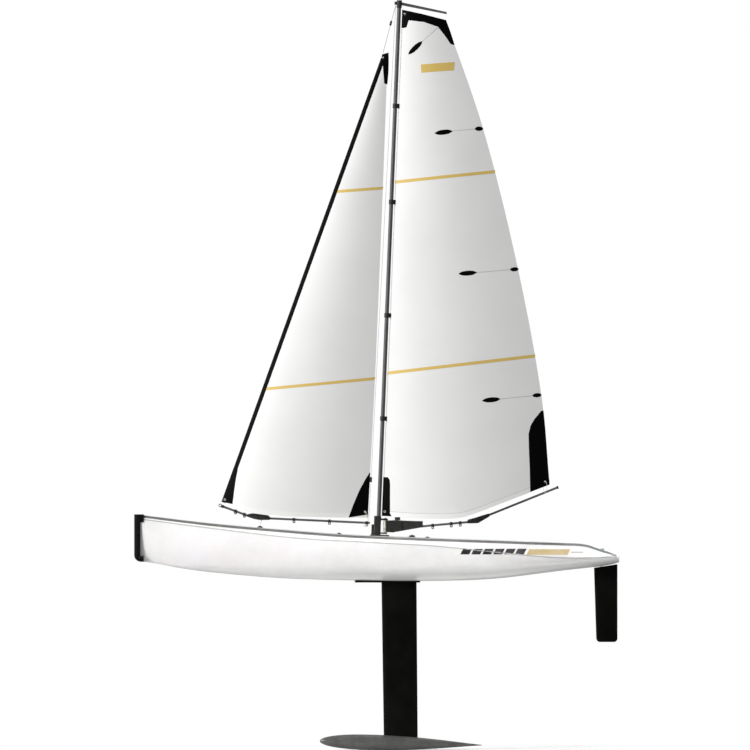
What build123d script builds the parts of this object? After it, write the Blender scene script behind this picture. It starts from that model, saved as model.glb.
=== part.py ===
from build123d import *
import math
import os

# One-design radio-controlled racing yacht: one-metre-class hull, deep fin keel with a lead
# bulb, raked mast, cambered mainsail and jib on cranked booms, and the radio gear inside.
# Millimetres. +X runs from bow to stern, +Y to starboard, +Z up. The origin lies on the
# centreline, on the underside of the hull at the middle of the keel fin.

# ---- Driving dimensions: hull --------------------------------------------------------
HULL_LENGTH = 942.5          # bow face to transom
KEEL_SHARE = 0.5406          # share of the hull length that lies ahead of the origin
HULL_DEPTH = 87.0            # hull bottom to deck at the origin
MAX_BEAM = 125.0
HULL_WALL = 1.5
DECK_WALL = 1.5
SEAM_GAP = 0.02              # glue line between hull and deck
BUMPER_LENGTH = 12.2         # rubber ahead of the bow face
AFT_DECK_LENGTH = 68.4       # sloping deck ahead of the transom
TRANSOM_DECK_DROP = 20.6     # how far that slope falls

# ---- Driving dimensions: keel and rudder ---------------------------------------------
FIN_CHORD = 69.2
FIN_TIP_CHORD = 66.9
FIN_SWEEP = 4.5              # leading edge at the tip, aft of the root
FIN_DEPTH = 302.0            # hull bottom to the top of the bulb
FIN_THICKNESS = 6.5
FIN_HEAD = 42.0              # fin inside the hull
BULB_LENGTH = 320.0
BULB_DIAMETER = 30.5
BULB_NOSE_AHEAD = 156.0      # bulb nose ahead of the origin
BULB_TILT = 1.43             # degrees, tail down
RUDDER_CHORD = 46.6
RUDDER_DEPTH = 148.0         # below the hull bottom at its leading edge
RUDDER_THICKNESS = 5.6
STOCK_DIAMETER = 3.0
STOCK_AHEAD_OF_TRANSOM = 34.0

# ---- Driving dimensions: rig ---------------------------------------------------------
MAST_FOOT_X = -41.4
MAST_RAKE = 2.3              # degrees aft of vertical
MAST_LENGTH = 1055.0
MAST_DIAMETER = 8.0
MAST_BORE = 6.2
MAST_SPLIT = 520.0           # length of the lower mast tube
PIN_AFT = 13.1               # gooseneck pin behind the mast axis
PIN_DIAMETER = 3.0
LUFF_AFT = 6.4               # mainsail luff behind the mast axis
MAIN_TACK_UP = 38.6          # mainsail tack above the mast foot
MAIN_LUFF = 997.6
MAIN_FOOT = 327.1
JIB_PIVOT_X = -274.0
JIB_TACK = (-349.3, 156.0)   # X and Z
JIB_FOOT = 281.1
JIB_HEAD_GAP = 100.0         # masthead eye down to the jib head
SAIL_CAMBER = 0.07           # depth of the curve, as a share of the chord
SAIL_THICKNESS = 0.8
BOOM_DIAMETER = 4.4
BOOM_BORE = 3.2

# ---- Driving dimensions: radio gear --------------------------------------------------
HATCH_X = 138.0
HATCH_LENGTH = 124.0
HATCH_WIDTH = 64.0
HATCH_CORNER = 12.0
TRAY_TOP = 40.0
TRAY_WALL = 2.0
TRAY_START = 68.0
TRAY_END = 212.0
TRAY_HALF_WIDTH = 36.0
SERVO_LENGTH = 40.0
SERVO_WIDTH = 20.0
SERVO_HEIGHT = 37.5
SERVO_EARS_DOWN = 9.5        # top of the case above the ears
SHAFT_DIAMETER = 5.8
TILLER_ARM = 18.0            # the servo horn has the same arm
TILLER_Z = 50.0
PUSHROD_DIAMETER = 1.6

# ---- Clearances ----------------------------------------------------------------------
FIT = 0.3                    # between pieces that turn or slide on each other
SLIP = 0.05                  # between pieces that are pushed together and stay

# ---- Hull lines: share of the hull length from the bow, then share of depth or beam ---
DECK_LINE = ((0.0, 1.50), (0.15, 1.307), (0.313, 1.151), (0.428, 1.055),
             (0.543, 1.0), (0.647, 0.959), (0.846, 0.882), (1.0, 0.828))
CHINE_LINE = ((0.0, 1.42), (0.125, 1.246), (0.313, 1.008), (0.428, 0.929), (0.543, 0.865),
              (0.626, 0.809), (0.736, 0.685), (0.846, 0.57), (0.92, 0.55), (1.0, 0.543))
KEEL_LINE = ((0.0, 0.437), (0.0716, 0.317), (0.125, 0.226), (0.284, 0.072), (0.446, 0.014),
             (0.5406, 0.0), (0.63, 0.004), (0.746, 0.056), (0.845, 0.189), (0.946, 0.317),
             (1.0, 0.423))
BEAM_LINE = ((0.0, 0.16), (0.07, 0.34), (0.15, 0.53), (0.28, 0.76), (0.42, 0.93),
             (0.56, 1.0), (0.70, 0.985), (0.84, 0.90), (1.0, 0.72))
STATIONS = 15
CHAMFER_LEAN = 0.45          # how far the deck edge leans in, per millimetre of its height

BOW_X = -HULL_LENGTH * KEEL_SHARE
STERN_X = BOW_X + HULL_LENGTH
RUDDER_X = STERN_X - STOCK_AHEAD_OF_TRANSOM


def value_on(line, share):
    """Smooth value of a hull line at a share of the hull length."""
    last = len(line) - 1
    i = 0
    while i < last - 1 and share > line[i + 1][0]:
        i += 1

    def slope(k):
        low = max(k - 1, 0)
        high = min(k + 1, last)
        return (line[high][1] - line[low][1]) / (line[high][0] - line[low][0])

    x0, y0 = line[i]
    x1, y1 = line[i + 1]
    span = x1 - x0
    t = (share - x0) / span
    start = (2 * t ** 3 - 3 * t ** 2 + 1) * y0 + (t ** 3 - 2 * t ** 2 + t) * span * slope(i)
    end = (3 * t ** 2 - 2 * t ** 3) * y1 + (t ** 3 - t ** 2) * span * slope(i + 1)
    return start + end


def share_at(x):
    return (x - BOW_X) / HULL_LENGTH


def level_deck_z(x):
    return HULL_DEPTH * value_on(DECK_LINE, share_at(x))


def chine_z(x):
    return HULL_DEPTH * value_on(CHINE_LINE, share_at(x))


def bottom_z(x):
    return HULL_DEPTH * value_on(KEEL_LINE, share_at(x))


def half_beam(x):
    return MAX_BEAM / 2 * value_on(BEAM_LINE, share_at(x))


AFT_BREAK_X = STERN_X - AFT_DECK_LENGTH
AFT_SLOPE = (TRANSOM_DECK_DROP + level_deck_z(AFT_BREAK_X) - level_deck_z(STERN_X)) / AFT_DECK_LENGTH


def deck_z(x):
    """Height of the deck on the centreline."""
    if x <= AFT_BREAK_X:
        return level_deck_z(x)
    return level_deck_z(AFT_BREAK_X) - (x - AFT_BREAK_X) * AFT_SLOPE


# ---- Small shape helpers -------------------------------------------------------------
def closed_face(edges):
    return Face(Wire(edges))


def outline_xz(points, width, middle_y=0.0):
    """Prism with an outline of (X, Z) points, as wide as given across the hull."""
    corners = [(x, middle_y, z) for x, z in points]
    face = Face(Wire.make_polygon(corners, close=True))
    return extrude(face, amount=width / 2, dir=(0, 1, 0), both=True)


def block(x0, x1, y0, y1, z0, z1):
    size = (x1 - x0, y1 - y0, z1 - z0)
    middle = ((x0 + x1) / 2, (y0 + y1) / 2, (z0 + z1) / 2)
    return Pos(*middle) * Box(*size)


def rod(start, end, diameter):
    """Round bar between two points."""
    line = Vector(*end) - Vector(*start)
    return extrude(Plane(origin=start, z_dir=line) * Circle(diameter / 2), line.length)


def pipe(start, end, outer, inner):
    """Round tube between two points, open at both ends."""
    line = Vector(*end) - Vector(*start)
    section = Plane(origin=start, z_dir=line) * (Circle(outer / 2) - Circle(inner / 2))
    return extrude(section, line.length)


def post(x, y, z0, z1, diameter):
    return Pos(x, y, (z0 + z1) / 2) * Cylinder(diameter / 2, z1 - z0)


def lens_plan(x0, x1, width, z0, z1):
    """Upright prism with a long rounded plan."""
    plan = SlotOverall(x1 - x0, width)
    return extrude(Pos((x0 + x1) / 2, 0, z0) * plan, z1 - z0)


def foil(nose_x, chord, thickness, z):
    """Symmetrical streamlined section with its nose ahead, level at height z."""
    shape = ((1.0, 0.06), (0.65, 0.34), (0.35, 0.5), (0.18, 0.46), (0.05, 0.29))
    far = [(nose_x + s * chord, t * thickness, z) for s, t in shape]
    near = [(x, -y, z) for x, y, z in reversed(far)]
    curve = Spline(*far, (nose_x, 0, z), *near)
    return closed_face([curve, Line(near[-1], far[0])])


def eyelet(x, y, z, ring, wire):
    """Small upright ring seen from the side, its hole across the hull."""
    return Pos(x, y, z) * Rot(90, 0, 0) * Torus(ring, wire)


PARTS = {}


# ---- Hull and deck -------------------------------------------------------------------
def hull_edges(x, wall):
    """The two curved sides of the hull at one station, from chine to chine."""
    share = share_at(x)
    beam = half_beam(x) - wall
    top = chine_z(x)
    low = bottom_z(x) + wall
    side = low + (0.45 - 0.15 * share) * (top - low)
    bilge = beam * (0.25 + 0.45 * share)
    right = Bezier((x, beam, top), (x, beam, side), (x, bilge, low), (x, 0, low))
    left = Bezier((x, 0, low), (x, -bilge, low), (x, -beam, side), (x, -beam, top))
    return right, left


def deck_points(x, wall):
    """Port deck edge and the point where the deck turns flat, at one station."""
    inset = CHAMFER_LEAN * (level_deck_z(x) - chine_z(x))
    edge = half_beam(x) - wall
    flat = half_beam(x) - inset - 0.7 * wall
    return edge, flat, level_deck_z(x) - wall


def hull_station(x):
    right, left = hull_edges(x, 0)
    beam = half_beam(x)
    top = chine_z(x)
    return closed_face([right, left, Line((x, -beam, top), (x, beam, top))])


def cavity_station(x):
    right, left = hull_edges(x, HULL_WALL)
    beam = half_beam(x) - HULL_WALL
    top = chine_z(x)
    over = top + 2.0
    rim = Polyline((x, -beam, top), (x, -beam, over), (x, beam, over), (x, beam, top))
    return closed_face([right, left, *rim.edges()])


def deck_station(x):
    edge, flat, high = deck_points(x, 0)
    low = chine_z(x) + SEAM_GAP
    corners = [(x, edge, low), (x, flat, high), (x, -flat, high), (x, -edge, low)]
    return Face(Wire.make_polygon(corners, close=True))


def deck_cavity_station(x):
    edge, flat, high = deck_points(x, DECK_WALL)
    low = chine_z(x)
    under = low - 2.0
    corners = [(x, edge, under), (x, edge, low), (x, flat, high),
               (x, -flat, high), (x, -edge, low), (x, -edge, under)]
    return Face(Wire.make_polygon(corners, close=True))


def envelope_station(x):
    right, left = hull_edges(x, 0)
    edge, flat, high = deck_points(x, 0)
    low = chine_z(x)
    top = Polyline((x, -edge, low), (x, -flat, high), (x, flat, high), (x, edge, low))
    return closed_face([right, left, *top.edges()])


def hull_loft(station, start, end):
    step = (end - start) / (STATIONS - 1)
    return loft([station(start + i * step) for i in range(STATIONS)])


def aft_slope_cutter(drop):
    """Everything above the sloping aft deck, lowered by the deck's wall for its inside."""
    high = level_deck_z(AFT_BREAK_X)
    end = STERN_X + 5
    points = [(AFT_BREAK_X, high - drop), (end, high - drop - (end - AFT_BREAK_X) * AFT_SLOPE),
              (end, high + 60), (AFT_BREAK_X, high + 60)]
    return outline_xz(points, MAX_BEAM * 2)


hull_solid = hull_loft(hull_station, BOW_X, STERN_X)
hull_cavity = hull_loft(cavity_station, BOW_X + HULL_WALL, STERN_X - HULL_WALL)
deck_solid = hull_loft(deck_station, BOW_X, STERN_X) - aft_slope_cutter(0)
deck_cavity = (hull_loft(deck_cavity_station, BOW_X + DECK_WALL, STERN_X - DECK_WALL)
               - aft_slope_cutter(DECK_WALL))
envelope = hull_loft(envelope_station, BOW_X, STERN_X) - aft_slope_cutter(0)

# ---- Shared places -------------------------------------------------------------------
KEEL_BOLT_X = 25.5
KEEL_BOLT_DIAMETER = 4.0
FIN_NOSE_X = -FIN_CHORD / 2
FIN_TAIL_X = FIN_CHORD / 2
HATCH_PLAN = RectangleRounded(HATCH_LENGTH, HATCH_WIDTH, HATCH_CORNER)


def hatch_prism(grow):
    """Upright prism over the hatch opening, grown or shrunk all round."""
    plan = RectangleRounded(HATCH_LENGTH + 2 * grow, HATCH_WIDTH + 2 * grow, HATCH_CORNER + grow)
    return extrude(Pos(HATCH_X, 0, 0) * plan, HULL_DEPTH * 2)


FIN_HEAD_INSET = 3.0         # the square head of the fin is shorter than its blade
fin_root_face = foil(FIN_NOSE_X, FIN_CHORD, FIN_THICKNESS, -SLIP)


def fin_head_block(grow, low):
    """Square head of the fin, which fills the slot through the hull and the trunk."""
    start = FIN_NOSE_X + FIN_HEAD_INSET - grow
    half = FIN_THICKNESS / 2 + grow
    return block(start, -start, -half, half, low, FIN_HEAD + grow)


fin_slot = fin_head_block(SLIP, -1.0)
rudder_tube_hole = post(RUDDER_X, 0, 0, TILLER_Z, 7.0)
rudder_bush_hole = post(RUDDER_X, 0, TILLER_Z, HULL_DEPTH, 7.0)
jib_eye_z = deck_z(JIB_PIVOT_X) + 4.0
FAIRLEADS_X = (-118.0, 56.0)
fairlead_holes = [post(x, 0, 0, HULL_DEPTH * 1.5, 3.0) for x in FAIRLEADS_X]

PARTS["hull_shell"] = hull_solid - hull_cavity - fin_slot - rudder_tube_hole
PARTS["deck_moulding"] = (
    deck_solid - deck_cavity - hatch_prism(0) - rudder_bush_hole
    - post(KEEL_BOLT_X, 0, HULL_DEPTH / 2, HULL_DEPTH * 1.5, KEEL_BOLT_DIAMETER + FIT)
    - post(JIB_PIVOT_X, 0, HULL_DEPTH / 2, HULL_DEPTH * 2, 7.6) - fairlead_holes)


# ---- Bow bumper ----------------------------------------------------------------------
BUMPER_HALF_WIDTH = 12.4
BUMPER_WRAP = 6.5            # cheeks that reach back over the bow's corners
BUMPER_LIP = 0.8


def bow_bumper():
    front = BOW_X - BUMPER_LENGTH
    back = BOW_X + BUMPER_WRAP
    top = level_deck_z(BOW_X) + BUMPER_LIP
    low = bottom_z(BOW_X)
    height = top - low
    body = block(front, back, -BUMPER_HALF_WIDTH, BUMPER_HALF_WIDTH, low, top)
    crosswise = body.edges().filter_by(Axis.Y).group_by(Axis.X)[0].sort_by(Axis.Z)
    body = fillet(crosswise[0], BUMPER_LENGTH * 1.1)
    crosswise = body.edges().filter_by(Axis.Y).sort_by(Axis.Z)[-1:]
    upright = body.edges().filter_by(Axis.Z).group_by(Axis.X)[0]
    body = fillet(upright, BUMPER_LENGTH * 0.55)
    window = block(BOW_X, back + 1, -50, 50, low + 0.12 * height, top - 0.16 * height)
    return body - window - envelope


PARTS["bow_bumper"] = bow_bumper()


# ---- Keel ----------------------------------------------------------------------------
FIN_INTO_BULB = 7.0
ROOT_PLATE = (-87.0, 42.0, 16.0, 2.8)     # start, end, width, height
TRUNK_WALL = 3.0
BULB_SCREW_X = 4.0


def keel_fin():
    tip = -FIN_DEPTH - FIN_INTO_BULB
    reach = -tip / FIN_DEPTH
    tip_face = foil(FIN_NOSE_X + FIN_SWEEP * reach, FIN_TIP_CHORD, FIN_THICKNESS * 0.95, tip)
    blade = loft([tip_face, fin_root_face])
    head = fin_head_block(0, -SLIP)
    bolt_hole = post(KEEL_BOLT_X, 0, FIN_HEAD - 20, FIN_HEAD + 1, KEEL_BOLT_DIAMETER)
    screw_hole = post(BULB_SCREW_X, 0, tip - 1, tip + 12, 3.0)
    return blade + head - bolt_hole - screw_hole


def bulb_axis_z(x):
    """Height of the bulb's axis, which drops towards the tail."""
    nose_z = -FIN_DEPTH - 13.4
    return nose_z - (x + BULB_NOSE_AHEAD) * math.tan(math.radians(BULB_TILT))


def keel_bulb():
    shape = ((0.002, 0.13), (0.012, 0.31), (0.05, 0.60), (0.14, 0.88), (0.30, 1.0), (0.48, 0.93),
             (0.66, 0.70), (0.84, 0.36), (0.96, 0.11))
    points = [(s * BULB_LENGTH, r * BULB_DIAMETER / 2) for s, r in shape]
    curve = Spline((0, 0), *points, (BULB_LENGTH, 0.6))
    back = Polyline((BULB_LENGTH, 0.6), (BULB_LENGTH, 0), (0, 0))
    half = closed_face([curve, *back.edges()])
    body = revolve(half, Axis.X)
    body = Pos(-BULB_NOSE_AHEAD, 0, bulb_axis_z(-BULB_NOSE_AHEAD)) * Rot(0, BULB_TILT, 0) * body
    low = bulb_axis_z(BULB_SCREW_X) - BULB_DIAMETER / 2 - 1
    head_seat = post(BULB_SCREW_X, 0, low, low + 5.0, 6.0)
    shank_hole = post(BULB_SCREW_X, 0, low, -FIN_DEPTH, 3.0)
    return body - PARTS["keel_fin"] - head_seat - shank_hole


def bulb_screw():
    seat = bulb_axis_z(BULB_SCREW_X) - BULB_DIAMETER / 2 + 4.0
    shank = post(BULB_SCREW_X, 0, seat, -FIN_DEPTH - FIN_INTO_BULB + 11, 3.0)
    head = post(BULB_SCREW_X, 0, seat - 2.6, seat, 5.6)
    slot = block(BULB_SCREW_X - 3, BULB_SCREW_X + 3, -0.4, 0.4, seat - 3, seat - 1.6)
    return shank + head - slot


def keel_trunk():
    """Glassfibre case for the head of the fin, with a tube that takes the bolt to the deck."""
    half = FIN_THICKNESS / 2 + TRUNK_WALL
    case = lens_plan(FIN_NOSE_X - TRUNK_WALL, FIN_TAIL_X + TRUNK_WALL, 2 * half,
                     -5, FIN_HEAD + TRUNK_WALL)
    tube = post(KEEL_BOLT_X, 0, FIN_HEAD, deck_z(KEEL_BOLT_X) + 5, 9.0)
    bolt_hole = post(KEEL_BOLT_X, 0, FIN_HEAD - 1, deck_z(KEEL_BOLT_X) + 6,
                     KEEL_BOLT_DIAMETER + FIT)
    shell = case + tube - fin_slot - bolt_hole
    parts = [shell & (Pos(0, 0, SLIP) * inside) & (Pos(0, 0, -SLIP) * inside)
             for inside in (hull_cavity, deck_cavity)]
    return parts[0] + parts[1]


def keel_bolt():
    return post(KEEL_BOLT_X, 0, FIN_HEAD - 20, deck_z(KEEL_BOLT_X) + 5.2, KEEL_BOLT_DIAMETER)


def keel_nut():
    """Knurled thumb nut that draws the fin up, on top of the deck."""
    base = deck_z(KEEL_BOLT_X)
    flange = post(KEEL_BOLT_X, 0, base - 2, base + 1.0, 15.0)
    grip = post(KEEL_BOLT_X, 0, base + 1.0, base + 4.0, 11.0)
    flutes = [Rot(0, 0, 0) * post(KEEL_BOLT_X + 5.9 * math.cos(a), 5.9 * math.sin(a),
                                  base + 1.0, base + 4.2, 1.6)
              for a in [math.radians(30 * i) for i in range(12)]]
    hole = post(KEEL_BOLT_X, 0, base - 3, base + 6, KEEL_BOLT_DIAMETER)
    return flange + grip - flutes - hole - envelope


fin_pass = extrude(foil(FIN_NOSE_X - SLIP, FIN_CHORD + 2 * SLIP, FIN_THICKNESS + 4 * SLIP, -8.0),
                   16.0, dir=(0, 0, 1))


def keel_root_plate():
    start, end, width, height = ROOT_PLATE
    plate = lens_plan(start, end, width, -height, HULL_DEPTH * 0.1)
    return plate - Pos(0, 0, -SLIP) * envelope - fin_pass


PARTS["keel_fin"] = keel_fin()
PARTS["keel_bulb"] = keel_bulb()
PARTS["bulb_screw"] = bulb_screw()
PARTS["keel_trunk"] = keel_trunk()
PARTS["keel_bolt"] = keel_bolt()
PARTS["keel_nut"] = keel_nut()
PARTS["keel_root_plate"] = keel_root_plate()


# ---- Rudder --------------------------------------------------------------------------
RUDDER_NOSE_X = STERN_X - RUDDER_CHORD - 2.5
RUDDER_TIP_CHORD = RUDDER_CHORD - 5.0
RUDDER_GAP = 1.8             # hull to the top of the blade
STOCK_INTO_BLADE = 60.0
TILLER_WALL = 2.0
TILLER_HUB = 6.0


def rudder_blade():
    top = bottom_z(STERN_X)
    tip = bottom_z(RUDDER_NOSE_X) - RUDDER_DEPTH
    tail = RUDDER_NOSE_X + RUDDER_CHORD
    faces = [foil(tail - RUDDER_TIP_CHORD, RUDDER_TIP_CHORD, RUDDER_THICKNESS * 0.85, tip),
             foil(RUDDER_NOSE_X, RUDDER_CHORD, RUDDER_THICKNESS, top)]
    blade = loft(faces)
    ahead = RUDDER_NOSE_X - 5
    behind = tail + 5
    low_gap = RUDDER_GAP + 1.0
    top_cut = outline_xz([(ahead, bottom_z(ahead) - RUDDER_GAP), (behind, bottom_z(STERN_X) - low_gap),
                          (behind, top + 20), (ahead, top + 20)], 30)
    blade = blade - top_cut
    corners = blade.edges().group_by(Axis.Z)[0].sort_by(Axis.X)
    radius = 7.0
    rounding = []
    for x, side in ((tail - RUDDER_TIP_CHORD, 1), (tail, -1)):
        square = block(min(x - 2 * side, x + radius * side), max(x - 2 * side, x + radius * side),
                       -10, 10, tip - 2, tip + radius)
        pin = Pos(x + radius * side, 0, tip + radius) * Rot(90, 0, 0) * Cylinder(radius, 40)
        rounding.append(square - pin)
    stock_hole = post(RUDDER_X, 0, top - STOCK_INTO_BLADE, top + 20, STOCK_DIAMETER)
    return blade - rounding - stock_hole


def rudder_stock():
    low = bottom_z(STERN_X) - STOCK_INTO_BLADE
    return post(RUDDER_X, 0, low, deck_z(RUDDER_X) + 1.2, STOCK_DIAMETER)


def rudder_tube():
    """Lower bearing tube, cut flush with the underside of the hull."""
    tube = post(RUDDER_X, 0, bottom_z(RUDDER_X) - 3, TILLER_Z - 2.4, 7.0)
    bore = post(RUDDER_X, 0, 0, HULL_DEPTH, STOCK_DIAMETER + FIT)
    return (tube & envelope) - bore


def rudder_top_bush():
    """Upper bearing in the aft deck, with a low flange on top."""
    top = deck_z(RUDDER_X)
    body = post(RUDDER_X, 0, TILLER_Z + TILLER_HUB + 0.6, top + 1.0, 7.0)
    flange = post(RUDDER_X, 0, top - 3, top + 1.2, 10.0) - envelope
    bore = post(RUDDER_X, 0, 0, HULL_DEPTH * 2, STOCK_DIAMETER + FIT)
    return body + flange - bore


def lever(x, bore, hub):
    """Flat arm to port at the height of the pushrod, with a hub on its shaft."""
    boss = post(x, 0, TILLER_Z, TILLER_Z + hub, bore + 5.0)
    arm = block(x - 2.4, x + 2.4, -TILLER_ARM, 0, TILLER_Z, TILLER_Z + TILLER_WALL)
    end = post(x, -TILLER_ARM, TILLER_Z, TILLER_Z + TILLER_WALL, 4.8)
    hole = post(x, -TILLER_ARM, TILLER_Z - 1, TILLER_Z + TILLER_WALL + 1, PUSHROD_DIAMETER + FIT)
    return boss + arm + end - hole - post(x, 0, TILLER_Z - 1, TILLER_Z + hub + 1, bore)


SERVO_SHAFT_X = 190.0


def rudder_pushrod():
    """Straight rod with an end bent down into each arm."""
    z = TILLER_Z + TILLER_WALL + FIT + PUSHROD_DIAMETER / 2
    y = -TILLER_ARM
    shaft = rod((SERVO_SHAFT_X, y, z), (RUDDER_X, y, z), PUSHROD_DIAMETER)
    ends = [post(x, y, TILLER_Z - 1.2, z, PUSHROD_DIAMETER) + Pos(x, y, z) * Sphere(PUSHROD_DIAMETER / 2)
            for x in (SERVO_SHAFT_X, RUDDER_X)]
    return shaft + ends


PARTS["rudder_blade"] = rudder_blade()
PARTS["rudder_stock"] = rudder_stock()
PARTS["rudder_tube"] = rudder_tube()
PARTS["rudder_top_bush"] = rudder_top_bush()
PARTS["tiller_arm"] = lever(RUDDER_X, STOCK_DIAMETER, TILLER_HUB)
PARTS["servo_horn"] = lever(SERVO_SHAFT_X, SHAFT_DIAMETER + 2 * SLIP, 3.0)
PARTS["rudder_pushrod"] = rudder_pushrod()


# ---- Radio gear on its tray ----------------------------------------------------------
WINCH_SHAFT_X = 88.0
WINCH_SHARE = 0.16           # winch shaft off the centreline, as a share of the beam
WINCH_Y = -WINCH_SHARE * MAX_BEAM
DRUM_DIAMETER = 28.0
DRUM_HEIGHT = 9.0
EAR_LENGTH = 7.0
EAR_WALL = 2.5
CELL_DIAMETER = 14.2
CELL_LENGTH = 50.0
CELLS_START = 79.0
CELLS_Y = 17.5
SCREW_DIAMETER = 2.6


def servo_case(shaft_x, y, shaft_end):
    """Servo case with ears, its shaft near the aft or forward end, and the shaft itself."""
    start = shaft_x - 10.0 if shaft_end == "front" else shaft_x + 10.0 - SERVO_LENGTH
    top = TRAY_TOP + SERVO_EARS_DOWN
    low = top - SERVO_HEIGHT
    case = block(start, start + SERVO_LENGTH, y - SERVO_WIDTH / 2, y + SERVO_WIDTH / 2, low, top - 2)
    lid = block(start + 0.6, start + SERVO_LENGTH - 0.6, y - SERVO_WIDTH / 2 + 0.6,
                y + SERVO_WIDTH / 2 - 0.6, top - 2, top - 1)
    ears = block(start - EAR_LENGTH, start + SERVO_LENGTH + EAR_LENGTH, y - SERVO_WIDTH / 2,
                 y + SERVO_WIDTH / 2, TRAY_TOP, TRAY_TOP + EAR_WALL)
    shaft = post(shaft_x, y, top - 1, top + 3.5, SHAFT_DIAMETER)
    case = fillet(case.edges().filter_by(Axis.Z), 1.0)
    holes = [post(x, yy, TRAY_TOP - 1, TRAY_TOP + 4, SCREW_DIAMETER)
             for x, yy in ear_holes(shaft_x, y, shaft_end)]
    return case + lid + ears + shaft - holes


def ear_holes(shaft_x, y, shaft_end):
    start = shaft_x - 10.0 if shaft_end == "front" else shaft_x + 10.0 - SERVO_LENGTH
    ends = (start - EAR_LENGTH / 2, start + SERVO_LENGTH + EAR_LENGTH / 2)
    return [(x, y + side * 5.0) for x in ends for side in (-1, 1)]


def servo_opening(shaft_x, y, shaft_end):
    start = shaft_x - 10.0 if shaft_end == "front" else shaft_x + 10.0 - SERVO_LENGTH
    return block(start - FIT, start + SERVO_LENGTH + FIT, y - SERVO_WIDTH / 2 - FIT,
                 y + SERVO_WIDTH / 2 + FIT, TRAY_TOP - TRAY_WALL - 1, TRAY_TOP + 1)


ALL_EAR_HOLES = ear_holes(WINCH_SHAFT_X, WINCH_Y, "front") + ear_holes(SERVO_SHAFT_X, 0, "back")


def radio_tray():
    """Flat tray on four pillars that stand on the inside of the hull."""
    plate = block(TRAY_START, TRAY_END, -TRAY_HALF_WIDTH, TRAY_HALF_WIDTH,
                  TRAY_TOP - TRAY_WALL, TRAY_TOP)
    plate = fillet(plate.edges().filter_by(Axis.Z), 5.0)
    pillars = [post(x, y, -5, TRAY_TOP - TRAY_WALL, 6.0)
               for x in (TRAY_START + 6, TRAY_END - 6) for y in (-28, 28)]
    holes = [post(x, y, TRAY_TOP - 5, TRAY_TOP + 1, 1.6) for x, y in ALL_EAR_HOLES]
    tray = plate + pillars - servo_opening(WINCH_SHAFT_X, WINCH_Y, "front")
    tray = tray - servo_opening(SERVO_SHAFT_X, 0, "back") - holes
    return tray & (Pos(0, 0, SLIP) * hull_cavity)


def ear_screws():
    """Round-head screws through the ears of both servos."""
    seat = TRAY_TOP + EAR_WALL
    screws = []
    for x, y in ALL_EAR_HOLES:
        head = Pos(x, y, seat + 0.75) * Cylinder(2.3, 1.5)
        shank = post(x, y, TRAY_TOP - TRAY_WALL - 2, seat, 1.6)
        cross = block(x - 1.6, x + 1.6, y - 0.25, y + 0.25, seat + 0.9, seat + 2)
        screws.append(head + shank - cross)
    return Compound(children=screws)


def winch_drum():
    """Grooved drum for the sheets, on the shaft of the winch."""
    base = TRAY_TOP + SERVO_EARS_DOWN - 1 + FIT
    core = post(WINCH_SHAFT_X, WINCH_Y, base, base + DRUM_HEIGHT, DRUM_DIAMETER - 6)
    flange = post(WINCH_SHAFT_X, WINCH_Y, base, base + 1.4, DRUM_DIAMETER)
    rims = flange + Pos(0, 0, (DRUM_HEIGHT - 1.4) / 2) * flange + Pos(0, 0, DRUM_HEIGHT - 1.4) * flange
    bore = post(WINCH_SHAFT_X, WINCH_Y, base - 1, base + 4.6, SHAFT_DIAMETER + 2 * SLIP)
    line_hole = post(WINCH_SHAFT_X + 11.8, WINCH_Y, base - 1, base + DRUM_HEIGHT + 1, 1.2)
    return core + rims - bore - line_hole


def receiver():
    case = block(140, 178, 14, 34, TRAY_TOP, TRAY_TOP + 11)
    case = fillet(case.edges(), 1.2)
    sockets = [block(177, 179, 16 + 3.4 * i, 18.4 + 3.4 * i, TRAY_TOP + 3, TRAY_TOP + 8)
               for i in range(5)]
    return case - sockets


def cell_places():
    pitch = CELL_DIAMETER + 0.3
    base = TRAY_TOP + 1.5 + CELL_DIAMETER / 2 + 0.1
    return [(CELLS_Y + side * pitch / 2, base + row * pitch) for row in (0, 1) for side in (-1, 1)]


def battery_cells():
    cells = []
    for y, z in cell_places():
        start = CELLS_START
        can = rod((start, y, z), (start + CELL_LENGTH - 1.5, y, z), CELL_DIAMETER)
        tip = rod((start + CELL_LENGTH - 1.5, y, z), (start + CELL_LENGTH, y, z), 5.4)
        cells.append(can + tip)
    return Compound(children=cells)


def battery_holder():
    """Open box that grips two layers of cells."""
    reach = CELL_DIAMETER + 0.5
    outer = block(CELLS_START - 2.2, CELLS_START + CELL_LENGTH + 2.2, CELLS_Y - reach - 1.5,
                  CELLS_Y + reach + 1.5, TRAY_TOP, TRAY_TOP + 20)
    inner = block(CELLS_START - 0.2, CELLS_START + CELL_LENGTH + 0.2, CELLS_Y - reach,
                  CELLS_Y + reach, TRAY_TOP + 1.5, TRAY_TOP + 21)
    return outer - inner


SWITCH_START = 184.0
SWITCH_Y = 25.0
SWITCH_TRAVEL = 4.0


def switch_body():
    case = block(SWITCH_START, SWITCH_START + 20, SWITCH_Y - 5, SWITCH_Y + 5, TRAY_TOP, TRAY_TOP + 8)
    case = fillet(case.edges().filter_by(Axis.Z), 1.0)
    slot = block(SWITCH_START + 5, SWITCH_START + 15, SWITCH_Y - 2, SWITCH_Y + 2,
                 TRAY_TOP + 3, TRAY_TOP + 9)
    return case - slot


def switch_slider():
    middle = SWITCH_START + 10 - SWITCH_TRAVEL / 2
    shoe = block(middle - 2.4, middle + 2.4, SWITCH_Y - 2 + FIT, SWITCH_Y + 2 - FIT,
                 TRAY_TOP + 3 + FIT, TRAY_TOP + 8.6)
    thumb = block(middle - 1.6, middle + 1.6, SWITCH_Y - 1.7, SWITCH_Y + 1.7,
                  TRAY_TOP + 8.6, TRAY_TOP + 11)
    return shoe + thumb


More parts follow.
